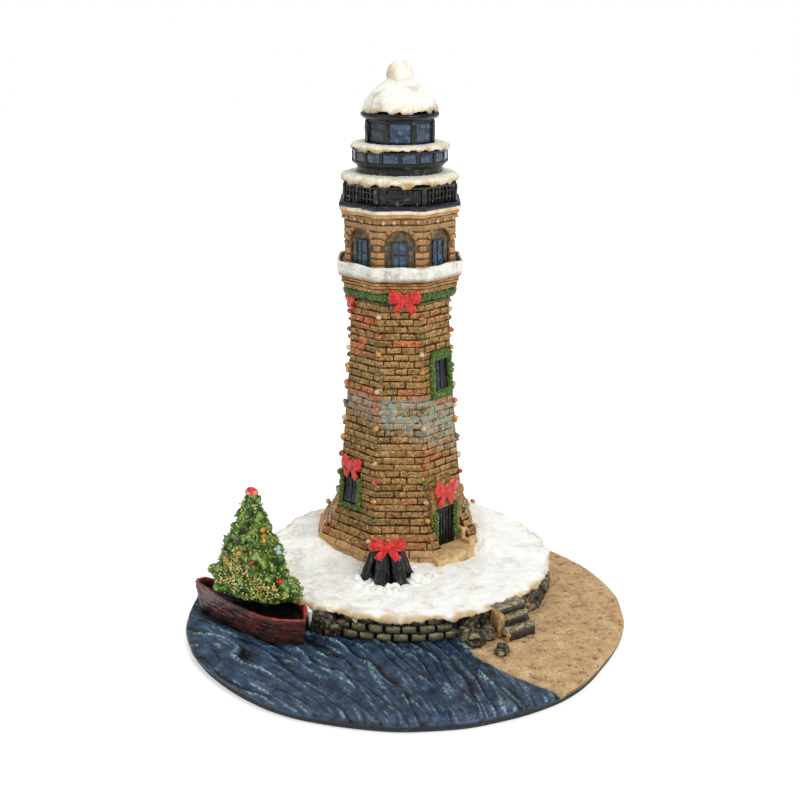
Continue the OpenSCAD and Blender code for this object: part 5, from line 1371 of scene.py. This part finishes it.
glaze(glass, tower[0] - 3, 3, 0.8, 0.9, 0.8, "lantern_glass", "lantern_panes")

# The roof: gloss black eaves under a bell of snow with dripping edges; the snow runs up to a cast ball,
# white on the right, with painted shade in cream tan over its left side and lower part.
eaves = lathe([(0, 136.72), (9.9, 136.72), (10.6, 136.95), (10.95, 137.5), (10.9, 138.1), (10.6, 138.45), (9.4, 138.5),
               (5.8, 141.8), (2.2, 145.05), (0, 145.05)], per_side=12, rows=3, wobble=0.12, seed=25.0, eight=False)
# Painted glints: light grey patches on the gloss black eaves.
mark(eaves, tip=painted_glints(corners(eaves), 1.8, 26.0, 1.5, 0.7) * 0.6)
settle(eaves, "roof_eaves", painted(
    "blue_black_roof_paint", "35 07080D 60 10131F 75 222840", 1.8, brush_and_light="7E8290", roughness=0.28,
    coat=0.15, relief=0.07, glare=0.3), "black_gloss_resin", "lantern_roof")


def bell_place(u, v):
    """The bell of roof snow, from its dripping edge to its pitted top under the ball."""
    turn = u * 2 * np.pi
    way = circle(turn, 10)
    edge = unit(1 - v * 4)
    knot = [0, 0.04, 0.1, 0.3, 0.5, 0.7, 0.85, 0.95, 1]
    r = np.interp(v, knot, [9.4, 10.2, 10.4, 9.8, 8.2, 6.0, 4.0, 3.2, 0])
    z = np.interp(v, knot, [0.1, 0.0, 0.8, 2.9, 5.0, 7.0, 8.4, 9.1, 9.1])
    r = r * (1 + lumps(way, 5, 2, 91.0) * 0.02) + edge * lumps(way, 2.2, 2, 92.0) * 0.35
    z = z - edge * np.clip(lumps(way, 3, 2, 93.0) * 1.2 + lumps(way, 1, 2, 99.0) * 0.4, -0.6, 0.9) * 1.2
    pits = flat_lumps(r * np.cos(turn), r * np.sin(turn), 2.4, 2, 94.0)
    return *round_tower(turn, r), 138.55 + z + pits * 0.2 * (r > 0.3)


bell = wrapped(220, 60, bell_place)
pick(bell)
shell = bell.modifiers.new("thickness", "SOLIDIFY")
shell.thickness = 0.5 * mm
shell.offset = -1
bpy.ops.object.modifier_apply(modifier="thickness")
points = corners(bell)
mark(bell, hollow=unit((139.9 + lumps(points, 2.5, 2, 98.0) * 0.8 - points[:, 2]) / 1.1)
     * np.clip(0.85 + lumps(points, 3, 2, 95.0) * 0.6, 0.2, 1),
     tip=unit((141.2 + lumps(points, 3, 2, 89.0) * 1.5 - points[:, 2]) / 1.5) * 0.8)
settle(bell, "roof_snow_bell", ring_snow, "snow_resin", "roof_snow", smooth=70)

knob = ball(3.72, 48, 32)
points = corners(knob)
points[:, 2] *= np.where(points[:, 2] < 0, 0.9, 0.985)
move_corners(knob, points + np.array([*tower, 148.58]))
roughen(knob, 2.0, 0.1, 2, 96.0)
x, y, z = (points := corners(knob)).T
# Painted shade: the ball is darkened to cream tan on its left and lower down.
mark(knob, hollow=unit((tower[0] - 0.3 - x) / 3.0 + lumps(points, 2, 2, 97.0) * 0.3)
     * np.clip(1.1 - (z - 148) / 6, 0.4, 1) * 0.8)
settle(knob, "roof_ball_cast", painted(
    "cream_white_ball_paint", "33 DCD6BE 50 EFECDC 70 F6F5EA", 3, wash_and_shade="C8B48A", coat=0.05,
    grain=0.4), "snow_resin", "roof_ball", smooth=70)

# The boat: a stout open hull modelled with lapped planks, painted dark maroon over brown and rubbed along
# the edges, under a red gunwale, dark along its middle and bright red toward bow and stern as painted
# highlight. It is cast in one with the sea beside the wall.
boat_w, boat_l, plank_h = 17, 38.2, 1.45


def boat_ring(w, l, u):
    """The plan of the hull at shares u of its length round, with its stern at -X and its bow at +X."""
    t = np.linspace(0, 1, 46)
    fore = np.maximum(t - 0.27, 0) / 0.73
    wide = w / 2 * np.where(t < 0.27, 0.45 + 0.55 * np.sin(t / 0.27 * math.pi / 2),
                            0.22 + 0.78 * np.cos(fore * math.pi / 2) ** 1.2)
    port = np.column_stack([l * (t - 0.5) - 2.6 * (1 - t), wide])
    board = np.column_stack([l * (t - 0.5) + 2.6 * (1 - t), -wide])
    swell = np.column_stack([0.9 * np.sin(np.linspace(0, math.pi, 9)), np.zeros(9)])
    bow = (np.linspace(board[-1], port[-1], 9) + swell)[1:-1]
    stern = np.linspace(port[0], board[0], 9)[1:-1]
    loop = np.vstack([board, bow, port[::-1], stern, board[:1]])
    where = u * (len(loop) - 1)
    return [np.interp(where, np.arange(len(loop)), column) for column in loop.T]


def from_boat(x, y, at=boat_at):
    return at[0] + x * boat_cos - y * boat_sin, at[1] + x * boat_sin + y * boat_cos


def hull_part(columns, rows, section, seed=0.0, rough=0.0):
    """A shell from a section of (width less, height, reach) rows, where reach 0 is the middle line."""
    def place(u, v):
        knot = np.linspace(0, 1, len(section))
        less, z, out = (np.interp(v, knot, column) for column in zip(*section))
        x, y = np.empty(len(u)), np.empty(len(u))
        for value in np.unique(np.round(less, 5)):
            held = np.abs(less - value) < 1e-4
            x[held], y[held] = boat_ring(boat_w - value, boat_l - value, u[held])
        x, y = x * out, y * out
        return *from_boat(x, y), z + unit((x - 6) / 12) ** 2 * 0.35 * (z > 9) * (out > 0.5)
    part = wrapped(columns, rows, place)
    if rough:
        roughen(part, 1.6, rough, 3, seed)
        roughen(part, 0.6, rough * 0.4, 2, seed + 1)
    return part


planks = [(2.6, 2.7, 0.0), (2.6, 2.7, 1.0)]
for k in range(5):
    planks += [(less - k * 0.46, low + k * plank_h, 1.0) for less, low in ((2.18, 2.9), (1.95, 4.12), (2.02, 4.22))]
planks += [(0.4, 10.2, 1.0), (2.6, 10.2, 1.0), (3.3, 9.8, 1.0), (3.4, 7.8, 1.0), (3.4, 7.7, 0.0)]
hull = hull_part(220, (len(planks) - 1) * 3, planks, 3.0, 0.14)
points = corners(hull)
laps = (points[:, 2] - 2.9) % plank_h
mark(hull, hollow=unit(bump(laps - 1.3, 0.16) * 0.35 + (points[:, 2] < 4.2) * 0.5
                       + np.clip(lumps(points * [1, 1, 2.2], 5, 3, 8.0) * 1.6, 0, 0.8)),
     tip=unit(bump(laps - 1.05, 0.2) * 0.3 + lumps(points * [1, 1, 3], 3.5, 2, 6.0) * 0.8 - 0.2))
settle(hull, "boat_planks", painted(
    "maroon_brown_hull_paint", "33 2A1A14 45 462820 58 622B27 72 7C3230", 4.5, wash_and_shade="221812", brush_and_light="8A5248",
    roughness=0.36, coat=0.14, glare=0.35, grain=0.5, mottle=0.16), "boat_resin", "boat_hull", smooth=50)
gunwale = hull_part(220, 24, [(less, z, 1.0) for less, z in (
    (0.25, 10.22), (0.0, 10.32), (0.0, 10.5), (0.4, 10.7), (1.5, 10.7), (2.2, 10.55), (2.4, 10.25),
    (0.25, 10.22))], 5.0, 0.12)
x, y, z = (points := corners(gunwale)).T
# Painted highlight: the gunwale is darkened along its middle, so that only toward bow and stern is it bright red.
mark(gunwale, hollow=unit(lumps(points, 3.5, 2, 7.0) * 0.9 + 1.5 - np.abs(in_boat(x, y)[0] - 1.5) / 13))
settle(gunwale, "boat_gunwale", painted(
    "red_gunwale_paint", "33 6E1813 50 A0241C 68 D23E32", 1.8, wash_and_shade="2E140F", roughness=0.38, coat=0.3, grain=0.35,
    relief=0.08), "boat_resin", "boat_rail", smooth=60)
boards = hull_part(160, 18, [(3.9, 7.72, 0.0), (3.9, 7.72, 1.0), (3.9, 8.8, 1.0)]
                   + [(3.9, 8.9, reach) for reach in (0.97, 0.7, 0.4, 0.0)])
points = corners(boards)
across = -in_boat(points[:, 0], points[:, 1])[1]
points[:, 2] -= 0.2 * bump((across + 20) % 1.8 - 0.9, 0.18) * (points[:, 2] > 8.7)
move_corners(boards, points)
roughen(boards, 1.0, 0.06, 2, 4.0)
settle(boards, "boat_floor_boards", black_gloss, "black_gloss_resin", "boat_deck")

# The Christmas tree in the boat: a lumpy oval cone of foliage on a short trunk, stippled with tufts,
# painted moss green, dabbed pale yellow and dusted with gold glitter, with a few balls and a red tip.
tree_at = boat_at + np.array([1.4 * boat_sin, -1.4 * boat_cos])
tree_low, tree_h, tree_rx, tree_ry = 11.3, 29.6, 15.3, 7.6


def tree_point(turn, h, out=0.0):
    """A point of the foliage at an angle and a share of its height, standing out by some mm."""
    way = circle(turn, 1.4, h * 4.2)
    share = (1 - 0.9 * h ** 0.92) * np.interp(h, [0, 0.04, 0.12, 1], [0.62, 0.86, 1, 1])
    lobes = lumps(way, 0.85, 2, 41.0) * 0.2 + lumps(way * [1, 1, 1.5], 0.45, 1, 42.0) * 0.17
    tiers = 0.075 * np.sin(h * 6.5 * 2 * np.pi + lumps(way, 1.6, 1, 43.0) * 2.6)
    fold = -0.20 * bump(np.angle(np.exp(1j * (turn - 1.62))), 0.16) * unit(h * 3)
    r = share * (1 + lobes * unit(1.25 - h) - tiers + fold)
    x, y = np.cos(turn) * (r * tree_rx + out), np.sin(turn) * (r * tree_ry + out)
    return *from_boat(x, y, tree_at), tree_low + tree_h * h + out * 0.3


def dust_share(turn, h):
    """How thickly the gold glitter lies at an angle and a height."""
    face = turn % math.pi
    return np.maximum(np.exp(-((face - 1.15) / 0.5) ** 2 - ((h - 0.27) / 0.15) ** 2),
                      np.exp(-((face - 2.15) / 0.42) ** 2 - ((h - 0.17) / 0.08) ** 2))


def foliage_place(u, v):
    x, y, z = tree_point(u * 2 * np.pi, np.interp(v, [0, 0.08, 1], [0, 0, 1]))
    inner = unit(1 - v / 0.08)
    return x + (tree_at[0] - x) * inner, y + (tree_at[1] - y) * inner, z + inner * 0.8


foliage = wrapped(260, 190, foliage_place)
roughen(foliage, 2.6, 0.75, 2, 44.0)
roughen(foliage, 1.3, 0.3, 2, 40.0)
x, y, z = (points := corners(foliage)).T
before = lumps(points, 1.6, 3, 45.0)
along, across = in_boat(x, y, tree_at)
dusty = dust_share(np.arctan2(across / tree_ry, along / tree_rx), (z - tree_low) / tree_h)
roughen(foliage, 0.7, 0.12, 2, 46.0)
mark(foliage, hollow=unit(0.2 - before * 0.9 + dusty * 0.55), tip=unit(before * 1.4))
settle(foliage, "tree_foliage", painted(
    "moss_green_paint", "30 2A460E 44 3F6618 58 5C822A 72 8CAA50", 2.0, wash_and_shade="172A08", brush_and_light="B4CC78",
    specks=[("EDEEC8", 0.7, 0.3)], roughness=0.45, coat=0.1, relief=0.14, mottle=0.2, glare=0.25),
    "tree_resin", "tree", smooth=60)

draw = random.Random(47)
turns, heights = [], []
while len(turns) < 1000:
    h = draw.random()
    if draw.random() < 1.05 - h:
        turns.append(draw.uniform(0, 2 * math.pi))
        heights.append(0.02 + 0.96 * h)
inside, beyond = (np.column_stack(tree_point(np.array(turns), np.array(heights), out)) for out in (0.0, 1.0))
tufts = []
for a, b in zip(inside, beyond):
    aim = (Vector(b - a) + Vector((draw.gauss(0, 0.45), draw.gauss(0, 0.45), draw.gauss(-0.25, 0.4)))).normalized()
    size = draw.uniform(0.18, 0.32)
    tufts.append((pointing(Vector(a) + aim * 0.1, aim) @ sized(size, size, size * draw.uniform(1.2, 2.4)),
                  unit(draw.gauss(0.5, 0.26))))
tufts = set_out(pebble(1), *zip(*tufts))
settle(tufts, "tree_tufts", painted(
    "moss_tuft_paint", "35 37451A 60 69773A", 1.5, roughness=0.55, coat=0.05, grain=0.25, relief=0.05, glare=0.25,
    tones="0 28430C 35 48681C 62 76943C 84 B9C67C 100 F2F1CC"), "tree_resin", "tree", smooth=60)


def on_tree(spots, out, seed, size, flat=1.0):
    """Places on the foliage at (angle, height) spots, each with a random turn."""
    draw = random.Random(seed)
    found = np.column_stack(tree_point(*np.array(spots).T, out))
    return [place_at(*p, draw.uniform(0, 6), draw.uniform(0, 6), 0, (s * size, s * size, s * size * flat))
            for p, s in zip(found, [draw.uniform(0.7, 1.2) for _ in spots])]


draw = random.Random(48)
dust = []
while len(dust) < 1500:
    turn, h = draw.uniform(0, 2 * math.pi), draw.random()
    if draw.random() < max(dust_share(turn, h), 0.05) * (1.15 - h):
        dust.append((turn, h))
# The palest flakes stand in for the glitter's sparkle, as painted highlights.
settle(set_out(pebble(1), on_tree(dust, 0.4, 49, 0.32, 0.45)), "tree_gold_dust", painted(
    "gold_glitter", "32 5A4E12 44 B89F30 54 EBDC84 66 FFFBDC", 0.6, roughness=0.28, coat=0.3, relief=0.03,
    metallic=0.15), "gold_glitter", "tree_baubles", smooth=20)
balls = set_out(ball(1, 20, 14), on_tree(
    [(1.9, 0.38), (2.8, 0.22), (1.8, 0.64), (-0.5, 0.4), (-1.6, 0.2), (-1.9, 0.5), (-1.0, 0.68)], 0.35, 51, 0.75))
roughen(balls, 0.9, 0.08, 2, 52.0)
settle(balls, "tree_red_balls", red_gloss, "ribbon_red_resin", "tree_baubles", smooth=70)
for name, code, slot, spots in (
        ("orange", "C4820F", "bulb_amber_resin",
         [(2.6, 0.68), (2.55, 0.63), (2.5, 0.59), (2.35, 0.36), (1.45, 0.44), (-0.9, 0.3)]),
        ("blue", "9CC4C8", "bulb_white_resin", [(3.0, 0.52), (3.05, 0.48), (-2.0, 0.35)])):
    dabs = set_out(pebble(3), on_tree(spots, 0.3, 54, 0.75, 0.8))
    roughen(dabs, 0.8, 0.25, 3, 55.0)
    settle(dabs, "tree_" + name + "_dabs", painted(
        name + "_dab_paint", "52 " + code + " 75 F2D88C", 1.2, roughness=0.4, coat=0.3, relief=0.06),
        slot, "tree_baubles", smooth=60)

bpy.ops.mesh.primitive_cone_add(vertices=32, radius1=1.8 * mm, radius2=1.1 * mm, depth=1.2 * mm)
cap = bpy.context.object
edited(bpy.ops.mesh.bevel, offset=0.5 * mm, segments=4, affect="EDGES")
cap.data.transform(in_metres(place_at(*tree_at, 41.25, boat_turn)) @ sized(1.25, 0.9, 1.4))
roughen(cap, 1.4, 0.16, 2, 53.0)
points = corners(cap)
mark(cap, tip=unit((41.55 - points[:, 2] + lumps(points, 1, 1, 3.0) * 0.5) / 0.3) * 0.85)
settle(cap, "tree_red_tip", red_gloss, "ribbon_red_resin", "tree_tip", smooth=60)


def trunk_place(u, v):
    turn = u * 2 * np.pi
    grooves = 1 - 0.06 * np.abs(np.sin(turn * 7 + np.sin(v * 9) * 0.5))
    r = np.interp(v, [0, 0.001, 0.999, 1], [0, 2.0, 1.9, 0]) * grooves
    return tree_at[0] + r * np.cos(turn), tree_at[1] + r * np.sin(turn), 8.95 + v * 3.4


trunk = wrapped(84, 12, trunk_place)
settle(trunk, "tree_trunk_stub", rock_paint, "rock_resin", "tree_trunk", smooth=50)

# The mooring piles: six grooved logs that lean on three in their middle, dipped in gloss black, with crumbs of
# snow heaped round their feet and the widest bow tied over their heads.


def pile_place(u, v):
    turn = u * 2 * np.pi
    grain = 0.07 * np.sin(turn * 5 + np.sin(v * 5)) + 0.03 * np.sin(turn * 11 + v * 4)
    r = np.interp(v, [0, 0.001, 0.93, 0.98, 1], [0, 1.95, 1.5, 1.2, 0]) * (1 + grain)
    return r * np.cos(turn), r * np.sin(turn), v


def round_piles(turn, r, z):
    return Vector((pile_at[0] + r * math.cos(turn), pile_at[1] + r * math.sin(turn), z))


pile_foot, pile_head = 11.3, 22.4
log = wrapped(60, 16, pile_place)
logs, crumbs = [], []
draw = random.Random(71)
for k in range(9):
    turn, low, high = (k * 60 - 48, 6.4, 3.0) if k < 6 else (k * 120 + 30, 2.9, 1.0)
    a = math.radians(turn)
    foot, head = round_piles(a, low, pile_foot), round_piles(a, high, pile_head)
    logs.append(pointing(foot, head - foot) @ Matrix.Rotation(draw.uniform(0, 6), 4, "Z")
                @ sized(1, 1, (head - foot).length - draw.uniform(0.1, 0.5)))
    crumbs += [round_piles(a + jitter(0.5), draw.uniform(7.4, 9.4), 0)[:2] for _ in range(6)]
crumbs += [(draw.gauss(4.5, 2.2), draw.gauss(1.0, 1.6)) for _ in range(22)]
piles = set_out(log, logs)
roughen(piles, 1.6, 0.12, 2, 72.0)
# Painted glints: light grey patches along the gloss black logs.
mark(piles, tip=painted_glints(corners(piles) * [1, 1, 0.35], 0.9, 73.0, 1.6, 0.75) * 0.8)
settle(piles, "pile_logs", neck_paint, "black_gloss_resin", "mooring_piles", smooth=60)
heaps = set_out(pebble(3), [
    place_at(x, y, z, draw.uniform(0, 6), jitter(0.3), 0, [draw.uniform(0.6, 1.5) * s for s in (1, 0.8, 0.45)])
    for (x, y), z in zip(crumbs, snow_height(*np.array(crumbs).T))])
roughen(heaps, 0.8, 0.25, 3, 74.0)
mark(heaps, hollow=unit(lumps(corners(heaps), 2.5, 2, 75.0) * 1.2 - 0.2) * 0.5)
settle(heaps, "snow_crumbs", snow_paint, "snow_resin", smooth=70)
